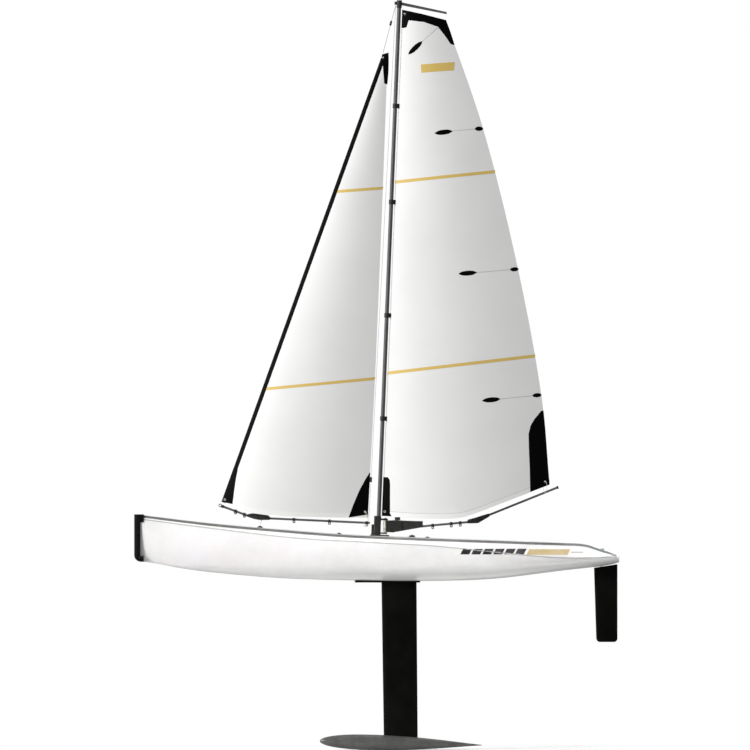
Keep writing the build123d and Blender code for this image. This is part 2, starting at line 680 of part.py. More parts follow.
PARTS["radio_tray"] = radio_tray()
PARTS["rudder_servo"] = servo_case(SERVO_SHAFT_X, 0, "back")
PARTS["sail_winch"] = servo_case(WINCH_SHAFT_X, WINCH_Y, "front")
PARTS["ear_screws"] = ear_screws()
PARTS["winch_drum"] = winch_drum()
PARTS["receiver"] = receiver()
PARTS["battery_holder"] = battery_holder()
PARTS["battery_cells"] = battery_cells()
PARTS["switch_body"] = switch_body()
PARTS["switch_slider"] = switch_slider()


# ---- Hatch ---------------------------------------------------------------------------
RIM_WALL = 2.0
COVER_GAP = 0.4


def hatch_rim():
    ring = hatch_prism(6) - hatch_prism(-4)
    under_deck = Pos(0, 0, -DECK_WALL - SLIP) * deck_solid
    return (ring & under_deck) - Pos(0, 0, -DECK_WALL - SLIP - RIM_WALL) * deck_solid - block(
        HATCH_X - HATCH_LENGTH, HATCH_X + HATCH_LENGTH, -MAX_BEAM, MAX_BEAM,
        -10, deck_z(HATCH_X + HATCH_LENGTH) - 8)


def hatch_cover():
    lid = hatch_prism(-COVER_GAP) & deck_solid
    lid = lid - Pos(0, 0, -DECK_WALL + FIT) * deck_solid
    lid = lid - block(HATCH_X - HATCH_LENGTH, HATCH_X + HATCH_LENGTH, -MAX_BEAM, MAX_BEAM,
                      -10, deck_z(HATCH_X + HATCH_LENGTH) - 8)
    tab_x = HATCH_X + HATCH_LENGTH / 2 - 8
    tab = block(tab_x - 2, tab_x + 2, -9, 9, deck_z(tab_x) - 0.6, deck_z(tab_x) + 1.6)
    return lid + tab


PARTS["hatch_rim"] = hatch_rim()
PARTS["hatch_cover"] = hatch_cover()


# ---- Deck fittings -------------------------------------------------------------------
def sheet_fairleads():
    """Low guides where the sheets come up through the deck."""
    guides = []
    for x in FAIRLEADS_X:
        top = deck_z(x)
        base = post(x, 0, top - 3, top + 1.0, 10.0) - envelope
        neck = post(x, 0, top + 0.6, top + 2.6, 5.0)
        guides.append(base + neck - post(x, 0, top - 5, top + 5, 2.2))
    return Compound(children=guides)


# ---- Mast ----------------------------------------------------------------------------
MAST_SIN = math.sin(math.radians(MAST_RAKE))
MAST_COS = math.cos(math.radians(MAST_RAKE))
MAST_FOOT_Z = deck_z(MAST_FOOT_X) + 1.6
STEP_TOP = 38.0
LOWER_ARM = (3.0, 5.8)
UPPER_ARM = (29.8, 33.4)


def on_mast(aft, up):
    """Point behind the mast axis and up along it from the foot."""
    return (MAST_FOOT_X + aft * MAST_COS + up * MAST_SIN, 0,
            MAST_FOOT_Z - aft * MAST_SIN + up * MAST_COS)


def mast_plane(aft, up):
    return Plane(origin=on_mast(aft, up), x_dir=(MAST_COS, 0, -MAST_SIN), z_dir=(MAST_SIN, 0, MAST_COS))


def mast_ring(aft, low, high, outer, inner=0.0):
    """Round piece parallel to the mast, hollow where a bore is given."""
    section = Circle(outer / 2)
    if inner:
        section = section - Circle(inner / 2)
    return extrude(mast_plane(aft, low) * section, high - low)


def mast_block(aft0, aft1, half_width, low, high, corner):
    plan = RectangleRounded(aft1 - aft0, 2 * half_width, corner)
    return extrude(mast_plane((aft0 + aft1) / 2, low) * plan, high - low)


def mast_step():
    """Moulded step: deck flange, column that clamps the mast, and two gooseneck arms."""
    flange = mast_block(-15, 22, 13, -6, 1.2, 5)
    column = mast_block(-9, 4.9, 6.5, 0, STEP_TOP, 3)
    web = mast_block(-13.5, -6, 1.5, 0, STEP_TOP * 0.55, 1)
    arms = []
    for low, high in (LOWER_ARM, UPPER_ARM):
        arms.append(mast_block(0, PIN_AFT + 5, 4.6, low, high, 4.5))
    bore = mast_ring(0, 0.6, STEP_TOP + 5, MAST_DIAMETER)
    pin_hole = mast_ring(PIN_AFT, LOWER_ARM[0] - 1, UPPER_ARM[1] + 5, PIN_DIAMETER)
    clamp_slit = mast_block(-12, -3, 0.4, STEP_TOP * 0.6, STEP_TOP + 1, 0.3)
    return flange + column + web + arms - bore - pin_hole - clamp_slit - envelope


def gooseneck_pin():
    shaft = mast_ring(PIN_AFT, LOWER_ARM[0] + 0.4, UPPER_ARM[1], PIN_DIAMETER)
    head = mast_ring(PIN_AFT, UPPER_ARM[1], UPPER_ARM[1] + 1.4, 5.4)
    return shaft + head


def mast_joiner():
    return mast_ring(0, MAST_SPLIT - 45, MAST_SPLIT + 45, MAST_BORE, 4.2)


CAP_LOW = MAST_LENGTH - 15.0
CAP_DIAMETER = 10.4
CAP_SOLID = 8.0              # solid top of the masthead cap
EYE_AHEAD = 6.6
VANE_BORE = 1.6
VANE_DEPTH = 6.5


def masthead_cap():
    """Cap on the mast with a lug ahead for the halyard and a socket for the wind vane."""
    cap = mast_ring(0, CAP_LOW, MAST_LENGTH, CAP_DIAMETER)
    lug = mast_block(-EYE_AHEAD - 3, 0, 1.5, MAST_LENGTH - 9, MAST_LENGTH - 3, 1)
    bore = mast_ring(0, CAP_LOW - 1, MAST_LENGTH - CAP_SOLID, MAST_DIAMETER)
    socket = mast_ring(0, MAST_LENGTH - VANE_DEPTH, MAST_LENGTH + 1, VANE_BORE)
    return cap + lug - bore - socket


CRANE_REACH = 94.0           # aft of the mast axis
CRANE_FALL = 0.165           # how far it slopes down, per millimetre behind the mast
CRANE_DEPTH = 6.0


def masthead_crane():
    """Flat bar that carries the backstay clear of the mainsail's head."""
    front = on_mast(0, MAST_LENGTH - 6)
    back = on_mast(CRANE_REACH, MAST_LENGTH - 6 - CRANE_REACH * CRANE_FALL)
    points = [(front[0], front[2] - CRANE_DEPTH / 2), (back[0], back[2] - CRANE_DEPTH * 0.35),
              (back[0], back[2] + CRANE_DEPTH * 0.35), (front[0], front[2] + CRANE_DEPTH / 2)]
    bar = outline_xz(points, 5.0)
    hole = mast_ring(CRANE_REACH - 4, MAST_LENGTH - 60, MAST_LENGTH + 10, 1.6)
    return bar - mast_ring(0, CAP_LOW - 5, MAST_LENGTH + 5, CAP_DIAMETER) - hole


RING_SHARES = (0.192, 0.396, 0.62, 0.81)
RING_HEIGHT = 9.0
RING_LUG = 9.0


def ring_heights():
    return [MAIN_TACK_UP + share * MAIN_LUFF for share in RING_SHARES]


def luff_rings():
    """Four clips that hold the luff of the mainsail to the mast."""
    rings = []
    for up in ring_heights():
        low = up - RING_HEIGHT / 2
        band = mast_ring(0, low, low + RING_HEIGHT, MAST_DIAMETER + 2.2)
        lug = mast_block(3, RING_LUG, 1.2, low, low + RING_HEIGHT, 1.1)
        rings.append(band + lug - mast_ring(0, low - 1, low + RING_HEIGHT + 1, MAST_DIAMETER + 2 * SLIP))
    return Compound(children=rings)


PARTS["sheet_fairleads"] = sheet_fairleads()
PARTS["mast_step"] = mast_step()
PARTS["gooseneck_pin"] = gooseneck_pin()
PARTS["mast_lower"] = mast_ring(0, 0.6, MAST_SPLIT, MAST_DIAMETER, MAST_BORE)
PARTS["mast_upper"] = mast_ring(0, MAST_SPLIT, MAST_LENGTH - CAP_SOLID, MAST_DIAMETER, MAST_BORE)
PARTS["mast_joiner"] = mast_joiner()
PARTS["masthead_cap"] = masthead_cap()
PARTS["masthead_crane"] = masthead_crane()
PARTS["luff_rings"] = luff_rings()


# ---- Main boom, which turns on the gooseneck pin -------------------------------------
KNEE_MAIN = (144.5, 116.9)            # X and Z of the bend
MAIN_FRONT_SLOPE = 0.092              # rise per millimetre ahead of the bend
MAIN_REAR_SLOPE = 0.402               # and behind it
MAIN_FRONT_START = 10.0
MAIN_BOOM_END = 311.4
FITTING_END = 46.9
SLEEVE_DIAMETER = 7.8
BOOM_RINGS_X = (64.0, 100.5, 118.3)


def main_front(x):
    return (x, 0, KNEE_MAIN[1] + (x - KNEE_MAIN[0]) * MAIN_FRONT_SLOPE)


def main_rear(x):
    return (x, 0, KNEE_MAIN[1] + (x - KNEE_MAIN[0]) * MAIN_REAR_SLOPE)


def gooseneck_sleeve():
    """Bright turning sleeve between the two arms."""
    return mast_ring(PIN_AFT, LOWER_ARM[1] + FIT, UPPER_ARM[0] - FIT, SLEEVE_DIAMETER,
                     PIN_DIAMETER + FIT)


def vang_fitting():
    """Tapered moulding that grips the sleeve and the front of the boom."""
    front = on_mast(PIN_AFT + 3.0, 0)[0]
    top = on_mast(PIN_AFT, UPPER_ARM[0] - FIT)[2]
    low = on_mast(PIN_AFT, LOWER_ARM[1] + FIT)[2]
    end_low = main_front(FITTING_END)[2] - BOOM_DIAMETER / 2 - 0.3
    points = [(front, low + 0.6), (front + 13, low - 0.2), (FITTING_END - 4, end_low),
              (FITTING_END, end_low + 0.6), (FITTING_END, end_low + 12.6),
              (FITTING_END - 14, end_low + 12.8), (front + 18, top + 0.6), (front, top)]
    body = outline_xz(points, 9.0)
    taper = [Pos(FITTING_END - 12, side * 8.6, 108) * Rot(0, 0, side * 2.5) * Box(60, 10, 60)
             for side in (-1, 1)]
    hollow = rod(main_front(MAIN_FRONT_START), main_front(FITTING_END + 5), BOOM_DIAMETER)
    turned = mast_ring(PIN_AFT, LOWER_ARM[0], UPPER_ARM[1], SLEEVE_DIAMETER)
    return body - taper - hollow - turned - knob_hole(top)


KNOB_X = -3.0


KNOB_SHANK = 3.0


def knob_hole(top):
    return post(KNOB_X, 0, top - 8.5, top + 4, KNOB_SHANK + 2 * SLIP)


def vang_knob():
    """Round-headed screw that sets the tension of the leech."""
    top = on_mast(PIN_AFT, UPPER_ARM[0] - FIT)[2]
    head = post(KNOB_X, 0, top + 0.8, top + 6.6, 11.0)
    flutes = [post(KNOB_X + 6.0 * math.cos(a), 6.0 * math.sin(a), top, top + 7, 2.2)
              for a in [math.radians(45 * i) for i in range(8)]]
    return head + post(KNOB_X, 0, top - 8, top + 1, KNOB_SHANK) - flutes


def main_boom_elbow():
    """Moulded knuckle that joins the two straight lengths of the main boom."""
    x, z = KNEE_MAIN
    points = [(x - 10.5, z - 3.4), (x + 11.2, z - 3.0), (x + 34, z + 10.4), (x + 32.6, z + 16.4),
              (x + 4, z + 7.4), (x - 9, z + 4.0)]
    body = outline_xz(points, 8.0)
    body = fillet(body.edges().filter_by(Axis.Y), 1.2)
    front = rod(main_front(x - 40), main_front(x - 3), BOOM_DIAMETER)
    rear = rod(main_rear(x + 4), main_rear(x + 60), BOOM_DIAMETER)
    return body - front - rear


def boom_tube(start, end):
    return pipe(start, end, BOOM_DIAMETER, BOOM_BORE)


BOOM_RING_LENGTH = 5.0
BOOM_RING_WALL = 1.1


def sliding_ring(place, toward):
    """Ring that grips a boom, with an eye underneath for a line."""
    x, y, z = place
    axis = Vector(*toward) - Vector(*place)
    collar = Circle(BOOM_DIAMETER / 2 + BOOM_RING_WALL)
    band = extrude(Plane(origin=place, z_dir=axis) * collar, BOOM_RING_LENGTH, both=False)
    eye = (Pos(x + BOOM_RING_LENGTH / 2, 0, z - BOOM_DIAMETER / 2 - 2.2) * Rot(90, 0, 0)
           * Torus(2.0, 0.9))
    along = axis.normalized()
    hole = rod(tuple(Vector(*place) - along * BOOM_RING_LENGTH),
               tuple(Vector(*place) + along * 2 * BOOM_RING_LENGTH), BOOM_DIAMETER)
    return band + eye - hole


def boom_rings():
    return Compound(children=[sliding_ring(main_front(x), main_front(x + 10)) for x in BOOM_RINGS_X])


def boom_end_cap():
    start = main_rear(MAIN_BOOM_END)
    inside = rod(main_rear(MAIN_BOOM_END - 6), start, BOOM_BORE)
    knob = rod(start, main_rear(MAIN_BOOM_END + 2.6), BOOM_DIAMETER + 1.6)
    return inside + knob


PARTS["gooseneck_sleeve"] = gooseneck_sleeve()
PARTS["vang_fitting"] = vang_fitting()
PARTS["vang_knob"] = vang_knob()
PARTS["main_boom_front"] = boom_tube(main_front(MAIN_FRONT_START), main_front(KNEE_MAIN[0] - 3))
PARTS["main_boom_elbow"] = main_boom_elbow()
PARTS["main_boom_rear"] = boom_tube(main_rear(KNEE_MAIN[0] + 4), main_rear(MAIN_BOOM_END))
PARTS["boom_rings"] = boom_rings()
PARTS["boom_end_cap"] = boom_end_cap()


# ---- Sails ---------------------------------------------------------------------------
# Each sail has its own frame: the luff is its upright edge, and its outline is given as
# shares of the foot, behind the luff, and of the luff, above the tack.
MAIN_FOOT_LINE = ((0.25, -0.0015), (0.47, 0.003), (0.592, 0.0168))
MAIN_CLEW = (1.0, 0.0748)
MAIN_LEECH = ((0.93, 0.25), (0.759, 0.4976), (0.518, 0.769))
MAIN_HEAD = (0.2655, 0.983)
JIB_FOOT_LINE = ((0.076, 0.0036), (0.187, -0.001), (0.342, 0.0088), (0.535, 0.0242))
JIB_CLEW = (1.0, 0.0723)
JIB_LEECH = ((0.721, 0.35), (0.322, 0.7316))
JIB_HEAD = (0.101, 0.9388)
SAIL_SECTIONS = 8
SAIL_SPARE = 0.04            # cloth left outside the outline before it is trimmed


def camber_share(t):
    """Depth of the sail at a share of its chord; 1 at its deepest."""
    return t * (1 - t) * (5.1 - 2.35 * t)


def camber_slope(t):
    return 5.1 - 14.9 * t + 7.05 * t * t


def sail_section(plane, chord):
    """Thin curved section, level in the sail's own frame and a little wider than the sail."""
    low = -SAIL_SPARE
    high = 1 + SAIL_SPARE
    span = high - low
    depth = -SAIL_CAMBER * chord
    ys = [camber_share(low), camber_share(low) + camber_slope(low) * span / 3,
          camber_share(high) - camber_slope(high) * span / 3, camber_share(high)]
    xs = [low + span * i / 3 for i in range(4)]
    near = [(x * chord, y * depth - SAIL_THICKNESS / 2) for x, y in zip(xs, ys)]
    far = [(x, y + SAIL_THICKNESS) for x, y in near]
    edges = [Bezier(*near), Line(near[-1], far[-1]), Bezier(*reversed(far)), Line(far[0], near[0])]
    return plane * closed_face(edges)


def leech_share(leech, up):
    """How far the leech lies behind the luff at a share of the luff's height."""
    if up <= leech[0][1]:
        return leech[0][0]
    if up >= leech[-1][1]:
        return leech[-1][0]
    return value_on([(high, aft) for aft, high in leech], up)


def cut_sail(tack, lean, luff, foot, foot_line, clew, leech, head):
    """Cambered sail: sections lofted up the luff, then trimmed to the outline."""
    sine = math.sin(math.radians(lean))
    cosine = math.cos(math.radians(lean))

    def frame(up):
        origin = (tack[0] + up * sine, 0, tack[1] + up * cosine)
        return Plane(origin=origin, x_dir=(cosine, 0, -sine), z_dir=(sine, 0, cosine))

    edge = (clew, *leech, head)
    heights = [-0.03 + 1.06 * i / (SAIL_SECTIONS - 1) for i in range(SAIL_SECTIONS)]
    cloth = loft([sail_section(frame(up * luff), foot * leech_share(edge, up)) for up in heights])
    side = Plane(origin=(tack[0], 0, tack[1]), x_dir=(cosine, 0, -sine), z_dir=(0, -1, 0))

    def at(point):
        return (point[0] * foot, point[1] * luff)

    top = (0.0, 1.0)
    edges = [Spline((0, 0), *[at(p) for p in foot_line]), Line(at(foot_line[-1]), at(clew)),
             Spline(at(clew), *[at(p) for p in leech], at(head)), Line(at(head), at(top)),
             Line(at(top), (0, 0))]
    outline = extrude(side * closed_face(edges), foot, both=True)
    return cloth & outline


main_tack = on_mast(LUFF_AFT, MAIN_TACK_UP)
eye_top = on_mast(-EYE_AHEAD, MAST_LENGTH - 6)
JIB_AXIS = Vector(eye_top[0] - JIB_PIVOT_X, 0, eye_top[2] - jib_eye_z).normalized()


def on_jib_axis(z):
    reach = (z - jib_eye_z) / JIB_AXIS.Z
    return (JIB_PIVOT_X + JIB_AXIS.X * reach, 0, z)


jib_head = on_jib_axis(eye_top[2] - JIB_HEAD_GAP)
JIB_LUFF = math.hypot(jib_head[0] - JIB_TACK[0], jib_head[2] - JIB_TACK[1])
JIB_LEAN = math.degrees(math.atan2(jib_head[0] - JIB_TACK[0], jib_head[2] - JIB_TACK[1]))


def mainsail():
    sail = cut_sail((main_tack[0], main_tack[2]), MAST_RAKE, MAIN_LUFF, MAIN_FOOT,
                    MAIN_FOOT_LINE, MAIN_CLEW, MAIN_LEECH, MAIN_HEAD)
    for up in ring_heights():
        low = up - RING_HEIGHT / 2 - 0.8
        sail = sail - mast_block(LUFF_AFT - 3, RING_LUG + 1.6, 6, low, low + RING_HEIGHT + 1.6, 1)
    return sail


def jib_sail():
    return cut_sail(JIB_TACK, JIB_LEAN, JIB_LUFF, JIB_FOOT, JIB_FOOT_LINE, JIB_CLEW, JIB_LEECH, JIB_HEAD)


PARTS["mainsail"] = mainsail()
PARTS["jib_sail"] = jib_sail()


# ---- Jib boom, which turns on the line from the deck swivel to the masthead ----------
JIB_BOOM_START = (-350.0, 148.0)      # X and Z
JIB_KNEE = (-287.5, 124.9)
JIB_BOOM_END = (-57.2, 114.4)
HEAD_EYE = 2.2
SWIVEL_DIAMETER = 1.6
SWIVEL_TOP_DROP = 3.5        # top of the swivel wire below the bend of the boom
LINE_DIAMETER = 1.0


def between(start, end, x):
    share = (x - start[0]) / (end[0] - start[0])
    return (x, 0, start[1] + (end[1] - start[1]) * share)


def jib_front(x):
    return between(JIB_BOOM_START, JIB_KNEE, x)


def jib_rear(x):
    return between(JIB_KNEE, JIB_BOOM_END, x)


def jib_boom_elbow():
    x, z = JIB_KNEE
    points = [(x - 13.3, z + 5.6), (x - 12.0, z + 2.6), (x + 1.5, z - 2.6), (x + 12.5, z - 4.6),
              (x + 32, z - 4.6), (x + 35.4, z - 1.0), (x + 30, z + 4.6), (x, z + 8.6),
              (x - 6, z + 8.0)]
    body = outline_xz(points, 8.0)
    front = rod(jib_front(x - 40), jib_front(x - 3), BOOM_DIAMETER)
    rear = rod(jib_rear(x + 3), jib_rear(x + 60), BOOM_DIAMETER)
    swivel_hole = rod(on_jib_axis(z - 10), on_jib_axis(z - SWIVEL_TOP_DROP), SWIVEL_DIAMETER)
    return body - front - rear - swivel_hole


def jib_swivel():
    """Wire between the deck and the boom, with a ball that keeps it in its eye."""
    low = on_jib_axis(jib_eye_z - 6.2)
    high = on_jib_axis(JIB_KNEE[1] - SWIVEL_TOP_DROP)
    return rod(low, high, SWIVEL_DIAMETER) + Pos(*low) * Sphere(1.8)


def jib_deck_eye():
    """Round eye on the foredeck that the swivel wire passes through."""
    top = jib_eye_z
    base = post(JIB_PIVOT_X, 0, top - 8, top - 2.4, 12.0) - envelope
    dome = post(JIB_PIVOT_X, 0, top - 3.4, top - 0.6, 7.0)
    bore = rod(on_jib_axis(top - 12), on_jib_axis(top + 3), SWIVEL_DIAMETER + 2 * FIT)
    ball_room = post(JIB_PIVOT_X, 0, top - 12, deck_z(JIB_PIVOT_X) - 0.05, 12)
    return base + dome - bore - ball_room


def jib_boom_rings():
    places = [(jib_front(-324.5), jib_front(-314)), (jib_front(-307.0), jib_front(-300)),
              (jib_rear(-209.5), jib_rear(-200)), (jib_rear(-139.5), jib_rear(-130)),
              (jib_rear(-66), jib_rear(-60))]
    return Compound(children=[sliding_ring(a, b) for a, b in places])


def jib_tack_ring():
    """Ring on the front of the boom that the tack of the jib is tied to."""
    x, z = JIB_BOOM_START
    collar = rod((x - 0.6, 0, z), jib_front(x + 5), BOOM_DIAMETER + 1.4)
    plug = rod((x, 0, z), jib_front(x + 6), BOOM_DIAMETER)
    ring = Pos(x - 2.2, 0, z + 1.0) * Rot(90, 0, 0) * Torus(2.6, 0.8)
    return ring + collar - plug


def jib_halyard():
    """Taut line from the masthead lug to the head of the jib."""
    top = on_jib_axis(eye_top[2] - 4.2)
    end = on_jib_axis(jib_head[2] + HEAD_EYE)
    return rod(top, end, LINE_DIAMETER) + Pos(*top) * Sphere(0.9)


def line_slider(place, toward, bore):
    """Bead that shortens a line, with a hole for it."""
    body = rod(place, toward, 4.2)
    return body - rod(place, toward, bore)


halyard_side = on_jib_axis(eye_top[2] - 7.5)
topping_top = (halyard_side[0] + 1.4, 0, halyard_side[2])
topping_end = (JIB_BOOM_END[0] - 2.4, 0, JIB_BOOM_END[1] + BOOM_DIAMETER / 2 + 0.15)
TOPPING_DIAMETER = 0.7


def on_topping_lift(z):
    share = (z - topping_end[2]) / (topping_top[2] - topping_end[2])
    return (topping_end[0] + (topping_top[0] - topping_end[0]) * share, 0, z)


PARTS["jib_boom_front"] = boom_tube(jib_front(JIB_BOOM_START[0] + 0.02), jib_front(JIB_KNEE[0] - 3))
PARTS["jib_boom_elbow"] = jib_boom_elbow()
PARTS["jib_boom_rear"] = boom_tube(jib_rear(JIB_KNEE[0] + 3), jib_rear(JIB_BOOM_END[0]))
PARTS["jib_swivel"] = jib_swivel()
PARTS["jib_deck_eye"] = jib_deck_eye()
PARTS["jib_boom_rings"] = jib_boom_rings()
PARTS["jib_tack_ring"] = jib_tack_ring()
PARTS["jib_halyard"] = jib_halyard()
bead_low = eye_top[2] - 44.0
PARTS["halyard_bead"] = line_slider(on_jib_axis(bead_low), on_jib_axis(bead_low + 9), LINE_DIAMETER)
PARTS["topping_lift"] = rod(topping_end, topping_top, TOPPING_DIAMETER)
BEAD_UP = 78.0
PARTS["topping_bead"] = line_slider(on_topping_lift(topping_end[2] + BEAD_UP),
                                    on_topping_lift(topping_end[2] + BEAD_UP + 10), TOPPING_DIAMETER)


os.makedirs("parts", exist_ok=True)
for name, shape in PARTS.items():
    export_step(shape, os.path.join("parts", name + ".step"))
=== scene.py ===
import math

import bpy
from bpy.props import FloatProperty, FloatVectorProperty, PointerProperty
from bpy.types import Operator, Panel, PropertyGroup
from mathutils import Matrix, Vector
from mathutils.bvhtree import BVHTree


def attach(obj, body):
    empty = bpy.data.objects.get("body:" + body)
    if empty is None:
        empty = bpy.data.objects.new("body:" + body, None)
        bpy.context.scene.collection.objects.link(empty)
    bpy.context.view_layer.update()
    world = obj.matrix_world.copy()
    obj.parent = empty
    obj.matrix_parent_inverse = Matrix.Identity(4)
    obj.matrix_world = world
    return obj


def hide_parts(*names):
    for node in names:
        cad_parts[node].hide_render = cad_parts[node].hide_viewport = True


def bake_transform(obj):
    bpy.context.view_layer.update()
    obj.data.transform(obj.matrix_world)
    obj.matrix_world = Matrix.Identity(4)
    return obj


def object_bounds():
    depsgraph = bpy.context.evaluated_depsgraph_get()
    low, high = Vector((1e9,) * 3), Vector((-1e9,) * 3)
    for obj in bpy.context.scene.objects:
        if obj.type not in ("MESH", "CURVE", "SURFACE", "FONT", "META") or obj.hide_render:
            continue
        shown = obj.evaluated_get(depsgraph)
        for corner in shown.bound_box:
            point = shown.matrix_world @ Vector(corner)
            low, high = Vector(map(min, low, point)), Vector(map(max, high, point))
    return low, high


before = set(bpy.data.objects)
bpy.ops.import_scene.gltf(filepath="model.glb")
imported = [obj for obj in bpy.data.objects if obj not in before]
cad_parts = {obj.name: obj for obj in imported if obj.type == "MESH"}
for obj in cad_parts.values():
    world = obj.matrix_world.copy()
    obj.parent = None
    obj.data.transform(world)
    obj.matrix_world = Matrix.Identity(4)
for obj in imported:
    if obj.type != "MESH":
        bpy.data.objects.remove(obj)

for leftover in ("Cube", "Camera", "Light"):
    if leftover in bpy.data.objects:
        bpy.data.objects.remove(bpy.data.objects[leftover])
CAD_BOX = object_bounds()

bl_info = {
    "name": "Radio sailing yacht",
    "version": (1, 0, 0),
    "blender": (4, 5, 0),
    "location": "3D View > Sidebar > Sailing yacht",
    "description": "Sails, lines, trim, finishes and stage of a radio-controlled racing yacht",
    "category": "Object",
}

MM = 0.001
HULL, MAIN, JIB = "hull", "main_rig", "jib_rig"
PORT, STARBOARD = -1, 1

# Sails
CAMBER = 0.07           # depth of the film over its chord, deepest at 43 % of the chord
MAIN_GRID = (168, 130)  # columns from luff to leech, close enough to bend beside the mast, and rows
JIB_GRID = (46, 124)
PATCH_ROWS = 8          # faces across a patch, stripe or band
# Shares of the patch thickness. They differ so that no two layers share a face.
CORNER_LAYER, STRIPE_LAYER, BATTEN_LAYER, BAND_LAYER, CREASE_LAYER = 1.08, 0.96, 0.92, 0.9, 0.84
DOUBLES = 0.002 * MM    # vertices closer than this are merged
SHARP = math.radians(40)

# Lashings of the clews
LASHING_WIDTH = 7.4 * MM
LASHING_RADIUS = 0.32 * MM
UNDER_BOOM = 3.2        # lowest place of a lashing, in millimetres under the line of its boom

# Trim of the hull, by x along the hull
TRIM_START, TRIM_END = -0.504, 0.428
TRIM_COLUMNS = 150
STATIONS = [-0.507 + 0.9385 * i / 47 for i in range(48)]
ABOVE_DECK = 0.14       # higher than any rim
FILM_THICKNESS = 0.14 * MM
FILM_LIFT = 0.12 * MM   # from the gelcoat to the middle of a film
DARK_BLOCKS, DARK_START, DARK_PITCH, DARK_LENGTH = 6, 0.123, 0.0215, 0.0175

VIEW_CENTRE = (-0.0473, 0.406)  # x and z in the middle of the view


def linear(code):
    """Scene colour of an sRGB hex value."""
    steps = [int(code[i:i + 2], 16) / 255 for i in (1, 3, 5)]
    return (*(s / 12.92 if s <= 0.04045 else ((s + 0.055) / 1.055) ** 2.4 for s in steps), 1.0)


# ---- Sizes and colours that a user would change ---------------------------------------
class SailSettings(PropertyGroup):
    cloth_thickness: FloatProperty(
        name="Cloth thickness", description="Thickness of the sail film", default=0.4 * MM,
        min=0.05 * MM, max=0.8 * MM, unit="LENGTH")
    patch_thickness: FloatProperty(
        name="Patch thickness", description="Film and patches together, at the corner patches",
        default=0.8 * MM, min=0.1 * MM, max=1.6 * MM, unit="LENGTH")
    luff_give: FloatProperty(
        name="Luff give", description="Width of mainsail that bends beside the mast as the boom swings",
        default=36 * MM, min=5 * MM, max=60 * MM, unit="LENGTH")
    foot_band: FloatProperty(
        name="Foot band", description="Width of the doubled film along the foot",
        default=9 * MM, min=2 * MM, max=20 * MM, unit="LENGTH")
    luff_tape: FloatProperty(
        name="Luff tape", description="Width of the black tape along the luff of the jib",
        default=7.6 * MM, min=2 * MM, max=20 * MM, unit="LENGTH")
    stripe_width: FloatProperty(
        name="Stripe width", description="Width of the coloured stripes across the sails",
        default=6.2 * MM, min=1 * MM, max=12 * MM, unit="LENGTH")


class FinishSettings(PropertyGroup):
    sail_white: FloatVectorProperty(
        name="Sail film", description="Colour of the sail film", subtype="COLOR", size=4,
        default=linear("#F7F7F6"), min=0, max=1)
    patch_black: FloatVectorProperty(
        name="Patches", description="Colour of the corner patches and luff tape", subtype="COLOR", size=4,
        default=linear("#060606"), min=0, max=1)
    stripe_gold: FloatVectorProperty(
        name="Stripes", description="Colour of the sail stripes", subtype="COLOR", size=4,
        default=linear("#E6C670"), min=0, max=1)


class StageSettings(PropertyGroup):
    view_width: FloatProperty(
        name="View width", description="Width that the camera takes in at the object",
        default=1.478, min=0.5, max=5, unit="LENGTH")
    camera_distance: FloatProperty(
        name="Camera distance", description="From the camera to the object",
        default=20.0, min=2, max=80, unit="LENGTH")
    floor_radius: FloatProperty(
        name="Floor radius", description="Radius of the sheet of paper under the keel",
        default=0.45, min=0.2, max=10, unit="LENGTH")
    key_power: FloatProperty(
        name="Key light", description="Power of the large soft light ahead of the bow",
        default=404.0, min=0, max=2000, unit="POWER")
    strip_power: FloatProperty(
        name="Hull light", description="Power of the gridded strip light above the hull's side",
        default=0.14, min=0, max=200, unit="POWER")
    sky_strength: FloatProperty(
        name="Room light", description="Strength of the even light from the room", default=0.26, min=0, max=3)


# ---- Materials ------------------------------------------------------------------------
def add(tree, kind, inputs=None, **settings):
    """Adds a node, sets its properties, and fills its sockets with values or other sockets."""
    node = tree.nodes.new(kind)
    for name, value in settings.items():
        setattr(node, name, value)
    for key, value in (inputs or {}).items():
        if isinstance(value, bpy.types.NodeSocket):
            tree.links.new(value, node.inputs[key])
        else:
            node.inputs[key].default_value = value
    return node


def blank_finish(name):
    """New node material: its tree, its shader and its object coordinates."""
    material = bpy.data.materials.new(name)
    material.use_nodes = True
    tree = material.node_tree
    return material, tree, tree.nodes["Principled BSDF"], add(tree, "ShaderNodeTexCoord").outputs["Object"]


def dress(tree, shader, tone, rough, relief, gloss):
    """Links a tone, a roughness and a relief to a shader, and sets how much it mirrors."""
    tree.links.new(tone.outputs[2], shader.inputs["Base Color"])
    tree.links.new(rough.outputs["Result"], shader.inputs["Roughness"])
    tree.links.new(relief.outputs["Normal"], shader.inputs["Normal"])
    shader.inputs["Specular IOR Level"].default_value = gloss


